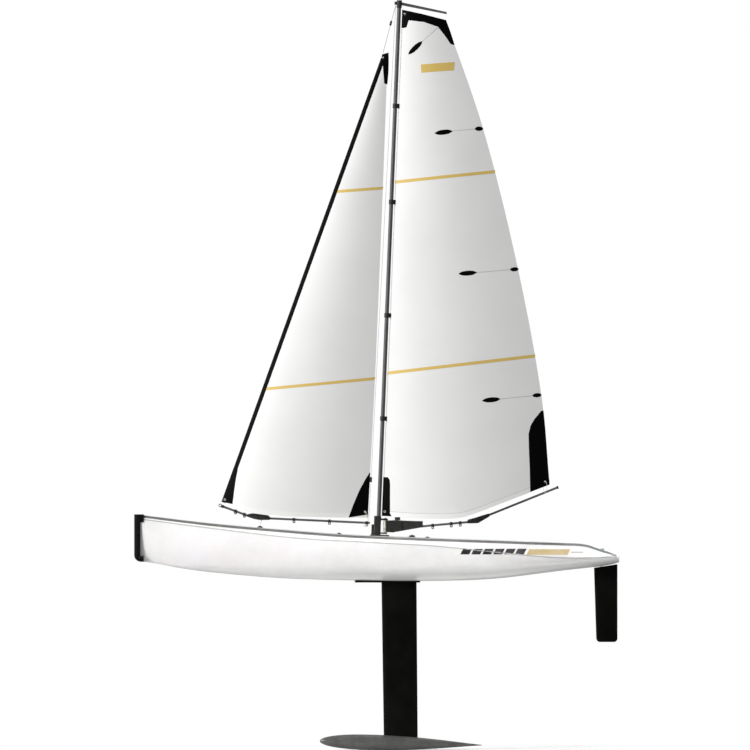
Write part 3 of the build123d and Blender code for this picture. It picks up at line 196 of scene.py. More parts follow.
# Finish: dark and light tone, mottle mm, grain mm, how the grain is scaled along each axis,
# roughness from and to, height of the grain mm, metallic, coat, specular level.
SURFACES = {
    # Gelcoat sprayed in a polished mould: deep white, a faint orange peel under the gloss.
    "Polished_white_gelcoat": ("#EFEFEE", "#FAFAF9", 70, 2.4, (1, 1, 1), 0.10, 0.20, 0.004, 0, 0.5, 0.5),
    # The same gelcoat on the deck, less polished.
    "Satin_white_gelcoat": ("#F0F0EE", "#F6F6F4", 50, 2.0, (1, 1, 1), 0.32, 0.37, 0.002, 0, 0.05, 0.4),
    # Moulded EPDM rubber: near black, dull, fine pores.
    "Moulded_black_rubber": ("#060606", "#101010", 12, 0.8, (1, 1, 1), 0.55, 0.75, 0.02, 0, 0, 0.1),
    # Carbon foil filled and rubbed with wet paper along the chord: black with a low sheen.
    "Rubbed_black_epoxy": ("#050504", "#0C0C0A", 30, 1.2, (0.15, 1, 1), 0.36, 0.50, 0.004, 0, 0, 0.07),
    # Cast lead under two coats of sprayed enamel: dark grey, half gloss, slightly uneven.
    "Sprayed_grey_enamel_on_lead": (
        "#515150", "#636362", 26, 3.0, (0.4, 1, 1), 0.28, 0.38, 0.008, 0, 0.1, 0.25),
    # Glass-filled nylon from the mould: charcoal, speckled, dry sheen.
    "Moulded_glass_filled_nylon": ("#222221", "#323230", 6, 0.5, (1, 1, 1), 0.42, 0.6, 0.012, 0, 0, 0.25),
    # Drawn and anodised aluminium tube: grey with lengthwise drawing lines.
    "Drawn_grey_anodised_aluminium": (
        "#535354", "#616163", 40, 0.9, (1, 1, 0.03), 0.46, 0.58, 0.003, 0.3, 0, 0.3),
    # Pultruded carbon tube for the booms: dark grey, lengthwise fibre lines under resin.
    "Pultruded_carbon_tube": ("#4C4C4D", "#626264", 30, 0.7, (0.03, 1, 1), 0.28, 0.42, 0.004, 0.2, 0.3, 0.5),
    # Turned stainless steel: bright, faint turning marks.
    "Turned_stainless_steel": ("#B4B3AF", "#CCCBC6", 8, 0.5, (1, 1, 0.2), 0.20, 0.34, 0.003, 1, 0, 0.5),
    # Nickel-plated brass sleeve: pale and warm.
    "Nickel_plated_brass": ("#D9D4C4", "#EFEBDD", 8, 0.6, (1, 1, 0.2), 0.22, 0.34, 0.003, 0.75, 0, 0.5),
    # Spark-eroded ABS of servo cases: black, even fine texture.
    "Textured_black_ABS": ("#151516", "#202022", 10, 0.6, (1, 1, 1), 0.45, 0.58, 0.014, 0, 0, 0.5),
    # Moulded acetal: milky white, waxy.
    "Moulded_white_acetal": ("#E4E2DB", "#F0EEE8", 10, 1.2, (1, 1, 1), 0.32, 0.44, 0.006, 0, 0, 0.5),
    # Heat-shrunk PVC sleeve on the cells: green, glossy, drawn tight.
    "Shrunk_green_PVC_sleeve": ("#2C5E47", "#37735A", 9, 1.5, (0.2, 1, 1), 0.24, 0.36, 0.01, 0, 0, 0.5),
    # Hand-laid glassfibre and epoxy: straw-coloured, uneven, resin-glossy.
    "Laid_glassfibre": ("#A9A37F", "#C6C09C", 14, 1.4, (1, 1, 1), 0.28, 0.45, 0.02, 0, 0, 0.5),
    # Braided polyester line: grey, dull, a short slanting weave.
    "Braided_grey_polyester": ("#8E8E8C", "#AAAAA7", 3, 0.6, (1, 1, 0.5), 0.6, 0.75, 0.05, 0, 0, 0.5),
    # Braided polyester line, undyed: off-white.
    "Braided_white_polyester": ("#CFCDC4", "#E6E4DC", 3, 0.6, (1, 1, 0.5), 0.6, 0.75, 0.05, 0, 0, 0.5),
    # Cut vinyl on the sides of the hull: smooth and thin, in near black, grey and amber.
    "Dark_vinyl_film": ("#1E1E1E", "#2C2C2C", 20, 1.5, (1, 1, 1), 0.25, 0.35, 0.002, 0, 0, 0.3),
    "Grey_vinyl_film": ("#ABABAA", "#B7B7B6", 20, 1.5, (1, 1, 1), 0.25, 0.35, 0.002, 0, 0, 0.5),
    "Amber_vinyl_film": ("#C2AB75", "#CDBB92", 20, 1.5, (1, 1, 1), 0.25, 0.35, 0.002, 0, 0, 0.5),
    # Soft edge trim where the deck meets the sides: mid grey, dull.
    "Grey_edge_trim": ("#666665", "#757574", 15, 1.0, (1, 1, 1), 0.5, 0.6, 0.004, 0, 0, 0.3),
    # Uncoated studio paper under the object.
    "White_studio_paper": ("#F4F4F3", "#FCFCFB", 300, 4, (1, 1, 1), 0.8, 0.9, 0.02, 0, 0, 0.5),
}


def surface(name):
    """Material from the table: soft mottle in the tone, fine grain in roughness and relief."""
    if name in bpy.data.materials:
        return bpy.data.materials[name]
    dark, light, mottle, grain, stretch, sheen_from, sheen_to, height, metal, coat, gloss = SURFACES[name]
    material, tree, shader, place = blank_finish(name)
    drawn = add(tree, "ShaderNodeMapping", {"Vector": place, "Scale": stretch})
    cloud = add(tree, "ShaderNodeTexNoise", {"Vector": place, "Scale": 1 / (mottle * MM), "Detail": 3.0})
    fine = add(tree, "ShaderNodeTexNoise",
               {"Vector": drawn.outputs["Vector"], "Scale": 1 / (grain * MM), "Detail": 4.0})
    both = add(tree, "ShaderNodeMix", {"Factor": 0.35, "A": cloud.outputs["Fac"], "B": fine.outputs["Fac"]})
    tone = add(tree, "ShaderNodeMapRange",
               {"Value": both.outputs["Result"], "From Min": 0.35, "From Max": 0.65})
    colour = add(tree, "ShaderNodeMix", {6: linear(dark), 7: linear(light), 0: tone.outputs["Result"]},
                 data_type="RGBA")
    rough = add(tree, "ShaderNodeMapRange", {"Value": both.outputs["Result"], "From Min": 0.3,
                                             "From Max": 0.7, "To Min": sheen_from, "To Max": sheen_to})
    relief = add(tree, "ShaderNodeBump", {"Height": fine.outputs["Fac"], "Strength": 0.6,
                                          "Distance": height * MM})
    dress(tree, shader, colour, rough, relief, gloss)
    shader.inputs["Metallic"].default_value = metal
    shader.inputs["Coat Weight"].default_value = coat
    return material


def sail_film(name, colour, ripple, gloss=0.4):
    """Polyester sail film: a calendered sheet, smooth and a little glossy, with a faint thread grid
    laid along the sail's own map and soft hand creases."""
    material, tree, shader, place = blank_finish(name)
    chart = add(tree, "ShaderNodeUVMap", uv_map="Cut").outputs["UV"]
    creases = add(tree, "ShaderNodeTexNoise", {"Vector": place, "Scale": 1 / (90 * MM), "Detail": 2.0})
    # Threads are 0.3 mm apart; at this scale they are drawn 16 mm apart, so that they show at all.
    weave = [add(tree, "ShaderNodeTexWave", {"Vector": chart, "Scale": 20.0}, bands_direction=way)
             for way in ("X", "Y")]
    grid = add(tree, "ShaderNodeMath", {0: weave[0].outputs["Fac"], 1: weave[1].outputs["Fac"]},
               operation="MAXIMUM")
    tone = add(tree, "ShaderNodeMapRange", {"Value": creases.outputs["Fac"], "From Min": 0.3,
                                            "From Max": 0.7})
    shade = [c * 0.965 for c in colour[:3]] + [1.0]
    mixed = add(tree, "ShaderNodeMix", {6: shade, 7: list(colour), 0: tone.outputs["Result"]},
                data_type="RGBA")
    rough = add(tree, "ShaderNodeMapRange", {"Value": creases.outputs["Fac"], "From Min": 0.3,
                                             "From Max": 0.7, "To Min": 0.34, "To Max": 0.48})
    wide = add(tree, "ShaderNodeBump", {"Height": creases.outputs["Fac"], "Strength": 0.5,
                                        "Distance": ripple * MM})
    relief = add(tree, "ShaderNodeBump", {"Height": grid.outputs["Value"], "Strength": 0.12,
                                          "Distance": 0.02 * MM, "Normal": wide.outputs["Normal"]})
    dress(tree, shader, mixed, rough, relief, gloss)
    return material


# Which finish each carried-over part has.
NODE_FINISHES = {
    "Polished_white_gelcoat": ["hull_shell"],
    "Satin_white_gelcoat": ["deck_moulding", "hatch_cover"],
    "Moulded_black_rubber": ["bow_bumper", "keel_root_plate"],
    "Rubbed_black_epoxy": ["keel_fin", "rudder_blade"],
    "Sprayed_grey_enamel_on_lead": ["keel_bulb"],
    "Moulded_glass_filled_nylon": [
        "boom_end_cap", "boom_rings", "halyard_bead", "jib_boom_elbow", "jib_boom_rings", "jib_deck_eye",
        "jib_tack_ring", "keel_nut", "luff_rings", "main_boom_elbow", "mast_step", "masthead_cap",
        "rudder_top_bush", "rudder_tube", "sheet_fairleads", "switch_slider", "tiller_arm",
        "topping_bead", "vang_fitting", "vang_knob", "winch_drum"],
    "Drawn_grey_anodised_aluminium": ["mast_joiner", "mast_lower", "mast_upper", "masthead_crane"],
    "Pultruded_carbon_tube": ["jib_boom_front", "jib_boom_rear", "main_boom_front", "main_boom_rear"],
    "Turned_stainless_steel": ["bulb_screw", "ear_screws", "gooseneck_pin", "jib_swivel", "keel_bolt",
                               "rudder_pushrod", "rudder_stock"],
    "Nickel_plated_brass": ["gooseneck_sleeve"],
    "Textured_black_ABS": ["battery_holder", "receiver", "rudder_servo", "sail_winch", "switch_body"],
    "Moulded_white_acetal": ["servo_horn"],
    "Shrunk_green_PVC_sleeve": ["battery_cells"],
    "Laid_glassfibre": ["hatch_rim", "keel_trunk", "radio_tray"],
}
REPLACED = ["mainsail", "jib_sail", "jib_halyard", "topping_lift"]


class YACHT_OT_part_finishes(Operator):
    """Give every carried-over part the finish of the real one"""
    bl_idname = "yacht.part_finishes"
    bl_label = "Finish the parts"

    def execute(self, context):
        finished = set(REPLACED)
        for name, nodes in NODE_FINISHES.items():
            for node in nodes:
                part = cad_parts[node]
                for number in range(len(part.data.materials)):
                    part.data.materials[number] = surface(name)
                finished.add(node)
        left = sorted(set(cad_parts) - finished)
        if left:
            raise RuntimeError(f"no finish for {left}")
        return {"FINISHED"}


# ---- Sail geometry --------------------------------------------------------------------
def value_on(line, share):
    """Smooth value of a line of (place, value) points."""
    last = len(line) - 1
    i = 0
    while i < last - 1 and share > line[i + 1][0]:
        i += 1

    def slope(k):
        low, high = max(k - 1, 0), min(k + 1, last)
        return (line[high][1] - line[low][1]) / (line[high][0] - line[low][0])

    x0, y0 = line[i]
    x1, y1 = line[i + 1]
    span = x1 - x0
    t = (share - x0) / span
    start = (2 * t ** 3 - 3 * t ** 2 + 1) * y0 + (t ** 3 - 2 * t ** 2 + t) * span * slope(i)
    return start + (3 * t ** 2 - 2 * t ** 3) * y1 + (t ** 3 - t ** 2) * span * slope(i + 1)


class Sail:
    """Outline and camber of one sail, in millimetres aft of the luff and up from the tack."""

    def __init__(self, tack, lean, luff, foot, foot_line, clew, leech, head):
        self.tack = tack
        self.aft_way = Vector((math.cos(lean), 0, -math.sin(lean)))
        self.up_way = Vector((math.sin(lean), 0, math.cos(lean)))
        self.luff = luff
        self.foot_line = [(0.0, 0.0)] + [(a * foot, u * luff) for a, u in foot_line]
        self.clew = (clew[0] * foot, clew[1] * luff)
        self.leech = [(u * luff, a * foot) for a, u in (clew, *leech, head)]
        self.head = (head[0] * foot, head[1] * luff)

    def leech_at(self, up):
        return value_on(self.leech, min(max(up, self.clew[1]), self.head[1]))

    def foot_at(self, aft):
        end = self.foot_line[-1]
        if aft <= end[0]:
            return value_on(self.foot_line, aft)
        return end[1] + (self.clew[1] - end[1]) * (aft - end[0]) / (self.clew[0] - end[0])

    def point(self, aft, up):
        """Place on the cambered film."""
        chord = self.leech_at(up)
        t = aft / chord
        y = -CAMBER * chord * t * (1 - t) * (5.1 - 2.35 * t)
        flat = Vector((self.tack[0], 0, self.tack[1])) + self.aft_way * aft + self.up_way * up
        return (flat + Vector((0, y, 0))) * MM

    def inside(self, u, v):
        """Smooth map of the unit square onto the outline, as (aft, up)."""
        low = (u * self.clew[0], self.foot_at(u * self.clew[0]))
        top = (u * self.head[0], self.luff + u * (self.head[1] - self.luff))
        left = (0.0, v * self.luff)
        rise = self.clew[1] + v * (self.head[1] - self.clew[1])
        right = (self.leech_at(rise), rise)
        corners = ((0.0, 0.0), self.clew, (0.0, self.luff), self.head)
        weights = ((1 - u) * (1 - v), u * (1 - v), (1 - u) * v, u * v)
        return tuple(
            (1 - v) * low[i] + v * top[i] + (1 - u) * left[i] + u * right[i]
            - sum(w * c[i] for w, c in zip(weights, corners)) for i in (0, 1))


MAINSAIL = Sail((-33.456, 128.609), math.radians(2.3), 997.6, 327.1,
                ((0.25, -0.0015), (0.47, 0.003), (0.592, 0.0168)), (1.0, 0.0748),
                ((0.93, 0.25), (0.759, 0.4976), (0.518, 0.769)), (0.2655, 0.983))
JIB_SAIL = Sail((-349.3, 156.0), math.atan2(317.36, 882.7), 938.02, 281.1,
                ((0.076, 0.0036), (0.187, -0.001), (0.342, 0.0088), (0.535, 0.0242)), (1.0, 0.0723),
                ((0.721, 0.35), (0.322, 0.7316)), (0.101, 0.9388))


# ---- Modelling helpers ----------------------------------------------------------------
def mapped_grid(name, columns, rows, place, chart=None):
    """Grid laid out by place(u, v), and charted by chart(u, v) in metres."""
    bpy.ops.object.select_all(action="DESELECT")
    bpy.ops.mesh.primitive_grid_add(x_subdivisions=columns, y_subdivisions=rows, size=1)
    obj = bpy.context.object
    obj.name = name
    shares = [(v.co.x + 0.5, v.co.y + 0.5) for v in obj.data.vertices]
    if chart:
        layer = obj.data.uv_layers.active
        layer.name = "Cut"
        for loop in obj.data.loops:
            layer.data[loop.index].uv = chart(*shares[loop.vertex_index])
    for vertex, share in zip(obj.data.vertices, shares):
        vertex.co = place(*share)
    return obj


def thicken(obj, thickness, offset=0.0):
    """Gives a sheet its thickness, for good, and turns its faces outwards."""
    wall = obj.modifiers.new("Wall", "SOLIDIFY")
    wall.thickness, wall.offset, wall.use_even_offset = thickness, offset, True
    bpy.context.view_layer.objects.active = obj
    bpy.ops.object.modifier_apply(modifier=wall.name)
    outward(obj)


def outward(obj):
    """Merges doubles and recalculates the normals of one piece."""
    bpy.ops.object.select_all(action="DESELECT")
    obj.select_set(True)
    bpy.context.view_layer.objects.active = obj
    bpy.ops.object.mode_set(mode="EDIT")
    bpy.ops.mesh.select_all(action="SELECT")
    bpy.ops.mesh.remove_doubles(threshold=DOUBLES)
    bpy.ops.mesh.normals_make_consistent(inside=False)
    bpy.ops.object.mode_set(mode="OBJECT")


def joined(name, pieces, material):
    """Joins pieces into one, names and finishes it."""
    bpy.ops.object.select_all(action="DESELECT")
    for piece in pieces:
        piece.select_set(True)
    bpy.context.view_layer.objects.active = pieces[0]
    if len(pieces) > 1:
        bpy.ops.object.join()
    made = bpy.context.view_layer.objects.active
    made.name = name
    made.data.materials.clear()
    made.data.materials.append(material)
    bpy.ops.object.shade_smooth_by_angle(angle=SHARP)
    return made


def along(points, share, smooth):
    """Place at a share of a line through points, each stretch taking an equal share."""
    reach = share * (len(points) - 1)
    i = min(int(reach), len(points) - 2)
    t = reach - i
    a, b = points[i], points[i + 1]
    if not smooth:
        return tuple(p + (q - p) * t for p, q in zip(a, b))
    before, after = points[max(i - 1, 0)], points[min(i + 2, len(points) - 1)]
    return tuple(0.5 * (2 * p + (q - o) * t + (2 * o - 5 * p + 4 * q - r) * t * t
                        + (3 * p - o - 3 * q + r) * t ** 3) for o, p, q, r in zip(before, a, b, after))


def film_band(sail, low, high, thickness, steps=8, smooth=False):
    """Film between two edges of as many (aft, up) points each, laid on a sail, with a number of steps
    from each point to the next: more where the sail bends beside the mast."""
    def spot(u, v):
        a, b = along(low, u, smooth), along(high, u, smooth)
        return tuple(p + (q - p) * v for p, q in zip(a, b))

    band = mapped_grid("band", (len(low) - 1) * steps, PATCH_ROWS, lambda u, v: sail.point(*spot(u, v)),
                       lambda u, v: tuple(c * MM for c in spot(u, v)))
    thicken(band, thickness)
    return band


def stripe(sail, start, end, width, thickness):
    """Straight stripe from the luff to the leech between two heights."""
    reach = sail.leech_at(end) + 0.6

    def line(shift):
        return [(-0.3 + reach * i / 8, start + (end - start) * i / 8 + shift) for i in range(9)]

    return film_band(sail, line(-width / 2), line(width / 2), thickness, steps=18, smooth=True)


def lens(sail, start, end, width, thickness):
    """Long pointed patch over a batten's end."""
    way = Vector((end[0] - start[0], end[1] - start[1]))
    across = Vector((-way.y, way.x)).normalized()
    swell = (0.12, 0.72, 0.95, 1.0, 0.95, 0.72, 0.12)
    sides = []
    for side in (-0.5, 0.5):
        spots = [Vector(start) + way * i / 6 + across * side * width * swell[i] for i in range(7)]
        sides.append([tuple(s) for s in spots])
    return film_band(sail, *sides, thickness, steps=3, smooth=True)


def bar(sail, start, end, width, thickness):
    """Straight strip between two places on a sail."""
    way = Vector((end[0] - start[0], end[1] - start[1]))
    across = Vector((-way.y, way.x)).normalized() * width / 2
    sides = [[tuple(Vector(start) + way * i / 4 + across * side) for i in range(5)] for side in (-1, 1)]
    return film_band(sail, *sides, thickness, steps=3)


def ring(place, way, radius, wire, flat=1.0, stretch=1.0):
    """Small ring at a place, its axis along way, flattened along the axis and stretched upwards."""
    bpy.ops.object.select_all(action="DESELECT")
    bpy.ops.mesh.primitive_torus_add(major_radius=radius, minor_radius=wire, major_segments=28,
                                     minor_segments=10)
    obj = bpy.context.object
    bpy.ops.object.mode_set(mode="EDIT")
    bpy.ops.mesh.select_all(action="SELECT")
    bpy.ops.transform.resize(value=(1.0, stretch, flat))
    bpy.ops.object.mode_set(mode="OBJECT")
    turned = Vector(way).to_track_quat("Z", "Y").to_matrix().to_4x4()
    obj.matrix_world = Matrix.Translation(place) @ turned
    bpy.ops.object.transform_apply(location=True, rotation=True, scale=True)
    return obj


def sail_way(sail, aft, up):
    """Direction square to the film at a place."""
    along_chord = sail.point(aft + 1, up) - sail.point(aft - 1, up)
    along_luff = sail.point(aft, up + 1) - sail.point(aft, up - 1)
    return along_chord.cross(along_luff).normalized()


def eyelet(sail, aft, up):
    """Rolled steel ring through a sail."""
    return ring(sail.point(aft, up), sail_way(sail, aft, up), 1.9 * MM, 0.65 * MM, 0.95)


# ---- Sails ----------------------------------------------------------------------------
# Places on a sail are (aft, up) in millimetres. A patch is film between an outer and an inner edge;
# where a clew's outer edge follows the leech, only its heights are given.
MAIN_HEAD = ([(-0.3, 961.5), (-0.3, 998.2), (40, 991.0), (86.9, 981.2), (97, 957), (105.9, 932.4)],
             [(9.4, 963.3), (13.4, 977.7), (43, 975.4), (71.6, 967.0), (86, 950), (97.8, 934.1)])
MAIN_TACK = ([(-0.4, u) for u in (-0.4, 5, 40, 62, 71, 76.4)],
             [(19.2, -0.3), (15.6, 5), (14.2, 40), (13.4, 62), (12.4, 71), (8.4, 76.4)])
MAIN_CLEW_UPS = (MAINSAIL.clew[1], 110, 150, 172.6, 188.5, 202.6, 219.6)
MAIN_CLEW = [(289.7, MAINSAIL.foot_at(289.7)), (287, 105), (283.6, 145), (282.0, 172.6),
             (285.1, 188.5), (292.4, 202.6), (305.5, 219.6)]
MAIN_PANEL = ([(42.5, 875.1), (74, 879), (105.9, 882.5)], [(40.3, 891.4), (74, 895.4), (107.1, 899.0)])
# Start, end and width of the pointed patches over the ends of the battens.
BATTEN_MARKS = (
    ((15.5, 910.6), (41.5, 937.0), 9.5), ((73.5, 756.9), (107.6, 762.7), 9.5),
    ((152.0, 769.1), (168.4, 770.4), 8.5), ((132.0, 482.3), (167.0, 486.4), 9.5),
    ((232.5, 494.6), (249.6, 496.9), 8.0), ((188.0, 234.5), (223.0, 239.4), 9.5),
    ((286.5, 248.3), (304.6, 250.8), 8.0))
BATTEN_WIDTH = 1.3
BATTENS = (((39.3, 934.7), (72, 966.6)), ((106, 762.6), (153, 769.2)), ((165, 486.1), (234, 494.8)),
           ((221, 239.1), (288, 248.5)))
MAIN_CLEW_HOLE, JIB_CLEW_HOLE = (318.5, 80.0), (272.5, 77.0)
MAIN_HOLES = ((5.0, 8.6), MAIN_CLEW_HOLE, (5.5, 990.0))

JIB_HEAD = ([(22.2, 884.4), (14.3, 902.0), (6.5, 919.6), (-0.6, 937.0)],
            [(28.9, 884.0), (23.6, 905.0), (17.0, 925.5), (9.9, 944.5)])
JIB_TACK = ([(-0.6, 0), (-0.6, 30), (-0.6, 55), (-0.6, 71)],
            [(21.6, JIB_SAIL.foot_at(21.6) - 0.2), (15.4, 30), (10.4, 55), (8.2, 71)])
JIB_CLEW_UPS = (74.0, 100.0, 125.0, 142.0, 153.0)
JIB_CLEW = [(245.5, JIB_SAIL.foot_at(245.5)), (245.8, 82), (247.4, 112), (251.0, 136), (254.6, 153)]
JIB_HOLES = ((4.5, 6.0), JIB_CLEW_HOLE, (2.6, 931.0))


def leech_edge(sail, ups):
    """Edge of a clew patch, just outside the leech."""
    return [(sail.leech_at(u) + 0.4, u) for u in ups]


def cut_cloth(name, sail, columns, rows, thickness, material):
    """The film of a whole sail, charted by its own outline."""
    cloth = mapped_grid(name, columns, rows, lambda u, v: sail.point(*sail.inside(u, v)),
                        lambda u, v: tuple(c * MM for c in sail.inside(u, v)))
    thicken(cloth, thickness)
    return joined(name, [cloth], material)


def foot_edges(sail, low, high, count=25):
    """The foot's line, shifted up by low and by high."""
    spots = [sail.clew[0] * i / (count - 1) for i in range(count)]
    return [[(a, sail.foot_at(a) + shift) for a in spots] for shift in (low, high)]


class YACHT_OT_mainsail(Operator):
    """Make the mainsail with its patches, stripes, battens and eyelets"""
    bl_idname = "yacht.mainsail"
    bl_label = "Mainsail"

    def execute(self, context):
        sizes, colours = context.scene.yacht_sails, context.scene.yacht_finishes
        sail, thick = MAINSAIL, sizes.patch_thickness
        film = sail_film("Calendered_white_sail_film", colours.sail_white, 0.5)
        cloth = cut_cloth("mainsail_cloth", sail, *MAIN_GRID, sizes.cloth_thickness, film)
        head = film_band(sail, *MAIN_HEAD, thick, steps=24)
        tack = film_band(sail, *MAIN_TACK, thick)
        clew = film_band(sail, leech_edge(sail, MAIN_CLEW_UPS), MAIN_CLEW, thick)
        marks = [lens(sail, a, b, w, thick) for a, b, w in BATTEN_MARKS]
        black = sail_film("Black_polyester_patch_film", colours.patch_black, 0.15, 0.05)
        patches = joined("mainsail_black_patches", [head, tack, clew, *marks], black)
        gold = sail_film("Gold_polyester_stripe_film", colours.stripe_gold, 0.1)
        width = sizes.stripe_width / MM
        stripes = joined("mainsail_gold_stripes", [
            stripe(sail, 658.1, 686.6, width, thick), stripe(sail, 281.4, 326.9, width, thick),
            film_band(sail, *MAIN_PANEL, thick)], gold)
        pale = sail_film("Clear_grey_batten_film", linear("#CDCDCB"), 0.1)
        battens = joined("mainsail_battens", [
            bar(sail, a, b, BATTEN_WIDTH, thick * BATTEN_LAYER) for a, b in BATTENS], pale)
        band = sizes.foot_band / MM
        white = sail_film("White_doubled_foot_film", linear("#FCFCFA"), 0.1)
        foot = joined("mainsail_foot_band", [
            film_band(sail, *foot_edges(sail, -0.3, band), thick * BAND_LAYER, steps=9)], white)
        crease = joined("mainsail_foot_crease", [
            film_band(sail, *foot_edges(sail, band, band + 0.9), thick * CREASE_LAYER, steps=9)], pale)
        steel = surface("Turned_stainless_steel")
        eyelets = joined("mainsail_eyelets", [eyelet(sail, a, u) for a, u in MAIN_HOLES], steel)
        start, end = sail.point(0, 0), sail.point(0, 0) + sail.aft_way * sizes.luff_give
        parts = [patches, stripes, battens, foot, crease, eyelets]
        for piece in (cloth, *parts):
            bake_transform(piece)
        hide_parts("mainsail")
        return {"FINISHED"}


class YACHT_OT_jib(Operator):
    """Make the jib with its luff tape, patches, stripes and eyelets"""
    bl_idname = "yacht.jib"
    bl_label = "Jib"

    def execute(self, context):
        sizes, colours = context.scene.yacht_sails, context.scene.yacht_finishes
        sail, thick = JIB_SAIL, sizes.patch_thickness
        film = sail_film("Calendered_white_jib_film", colours.sail_white, 0.5)
        cloth = cut_cloth("jib_cloth", sail, *JIB_GRID, sizes.cloth_thickness, film)
        tape_ups = [sail.luff * i / 12 for i in range(13)]
        wide = sizes.luff_tape / MM
        tape = film_band(sail, [(-0.5, u) for u in tape_ups], [(wide, u) for u in tape_ups], thick)
        head = film_band(sail, *JIB_HEAD, thick * CORNER_LAYER)
        tack = film_band(sail, *JIB_TACK, thick * CORNER_LAYER)
        clew = film_band(sail, leech_edge(sail, JIB_CLEW_UPS), JIB_CLEW, thick)
        black = sail_film("Black_polyester_jib_film", colours.patch_black, 0.15, 0.05)
        patches = joined("jib_black_patches", [tape, head, tack, clew], black)
        gold = sail_film("Gold_polyester_jib_stripe", colours.stripe_gold, 0.1)
        width = sizes.stripe_width / MM
        stripes = joined("jib_gold_stripes", [
            stripe(sail, start, end, width, thick * STRIPE_LAYER)
            for start, end in ((649.2, 689.4), (235.7, 331.0))], gold)
        band = sizes.foot_band / MM
        white = sail_film("White_doubled_jib_foot_film", linear("#FCFCFA"), 0.1)
        foot = joined("jib_foot_band", [
            film_band(sail, *foot_edges(sail, -0.3, band), thick * BAND_LAYER, steps=3)], white)
        steel = surface("Turned_stainless_steel")
        eyelets = joined("jib_eyelets", [eyelet(sail, a, u) for a, u in JIB_HOLES], steel)
        parts = [patches, stripes, foot, eyelets]
        for piece in (cloth, *parts):
            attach(piece, JIB)
        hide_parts("jib_sail")
        return {"FINISHED"}


# ---- Lines ----------------------------------------------------------------------------
def taut_line(name, points, diameter, material):
    """Line on one smooth curve through its route."""
    data = bpy.data.curves.new(name, "CURVE")
    data.dimensions = "3D"
    run = data.splines.new("NURBS")
    run.points.add(len(points) - 1)
    for knot, point in zip(run.points, points):
        knot.co = (*(c * MM for c in point), 1.0)
    run.order_u = 3
    run.use_endpoint_u = True
    data.bevel_depth = diameter / 2 * MM
    data.bevel_resolution = 3
    data.use_fill_caps = True
    data.materials.append(material)
    line = bpy.data.objects.new(name, data)
    bpy.context.scene.collection.objects.link(line)
    return line


HALYARD = [(-6.4, 0, 1134.9), (-18.9, 0, 1088.0), (-31.5, 0, 1040.9)]
TOPPING_LIFT = [(-6.7, 0, 1131.1), (-33.2, 0, 624.0), (-59.6, 0, 116.8)]


class YACHT_OT_lines(Operator):
    """Run the jib halyard and the topping lift"""
    bl_idname = "yacht.lines"
    bl_label = "Halyard and topping lift"

    def execute(self, context):
        braid = surface("Braided_grey_polyester")
        for name, node, route, thick, bead in (
                ("jib_halyard_line", "jib_halyard", HALYARD, 1.0, "halyard_bead"),
                ("topping_lift_line", "topping_lift", TOPPING_LIFT, 0.7, "topping_bead")):
            line = taut_line(name, route, thick, braid)
            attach(line, JIB)
            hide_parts(node)
        return {"FINISHED"}


def tied_loop(name, high, low, body, material):
    """Turns of line tied through two places, one above the other."""
    middle, reach = (high + low) / 2, (high - low).length / 2
    width = LASHING_WIDTH / 2
    turns = [ring(middle + Vector((0, shift, 0)), (0, 1, 0), width, LASHING_RADIUS, 1.0, reach / width)
             for shift in (-LASHING_RADIUS * 1.1, LASHING_RADIUS * 1.1)]
    tilt = (high - low).normalized()
    spin = Vector((0, 0, 1)).rotation_difference(tilt).to_matrix().to_4x4()
    for turn in turns:
        turn.data.transform(Matrix.Translation(middle) @ spin @ Matrix.Translation(-middle))
    loop = joined(name, turns, material)
    outward(loop)
    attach(loop, body)


# Lines along the rear booms: x and z of one place, and the rise per millimetre aft.
MAIN_BOOM_LINE = (147.7, 118.0, (186.0 - 116.5) / (312.2 - 147.7))
JIB_BOOM_LINE = (-284.6, 124.8, (112.2 - 127.0) / (284.6 - 57.1))


class YACHT_OT_lashings(Operator):
    """Tie the corners of the sails to their booms"""
    bl_idname = "yacht.lashings"
    bl_label = "Corner lashings"

    def execute(self, context):
        white = surface("Braided_white_polyester")
        for name, sail, hole, (x, z, rise), body in (
                ("mainsail_clew_tie", MAINSAIL, MAIN_CLEW_HOLE, MAIN_BOOM_LINE, MAIN),
                ("jib_clew_tie", JIB_SAIL, JIB_CLEW_HOLE, JIB_BOOM_LINE, JIB)):
            high = sail.point(*hole) + Vector((0, 0, 0.6 * MM))
            low = Vector((high.x, high.y, (z + rise * (high.x / MM - x) - UNDER_BOOM) * MM))
            tied_loop(name, high, low, body, white)
        return {"FINISHED"}


# ---- Hull trim ------------------------------------------------------------------------
def solid_tree(*nodes):
    """The outsides of some carried-over parts, to cast rays at."""
    places, faces = [], []
    for node in nodes:
        mesh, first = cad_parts[node].data, len(places)
        places += [v.co.copy() for v in mesh.vertices]
        faces += [tuple(first + i for i in p.vertices) for p in mesh.polygons]
    return BVHTree.FromPolygons(places, faces)


def side_point(tree, x, z, side):
    """Place just off the outside of a shell at x and z, or just under z past its rim."""
    for step in range(20):
        spot, normal, _, _ = tree.ray_cast(Vector((x, side * 0.3, z - 0.2 * MM * step)),
                                           Vector((0, -side, 0)))
        if spot is not None:
            break
    else:
        raise RuntimeError(f"no shell at {x}, {z}")
    if normal.y * side < 0:
        normal = -normal
    return spot + normal * FILM_LIFT


def top_height(tree, x):
    """Highest place of a shell at x that a level line from the side still meets."""
    high = ABOVE_DECK
    while tree.ray_cast(Vector((x, -0.3, high)), Vector((0, 1, 0)))[0] is None:
        high -= 0.1 * MM
    return high


def side_film(tree, columns, rows, spot, side):
    """Film on one side of a shell, with its x and z given by spot(u, v)."""
    film = mapped_grid("film", columns, rows, lambda u, v: side_point(tree, *spot(u, v), side),
                       lambda u, v: (u, v))
    thicken(film, FILM_THICKNESS)
    return film


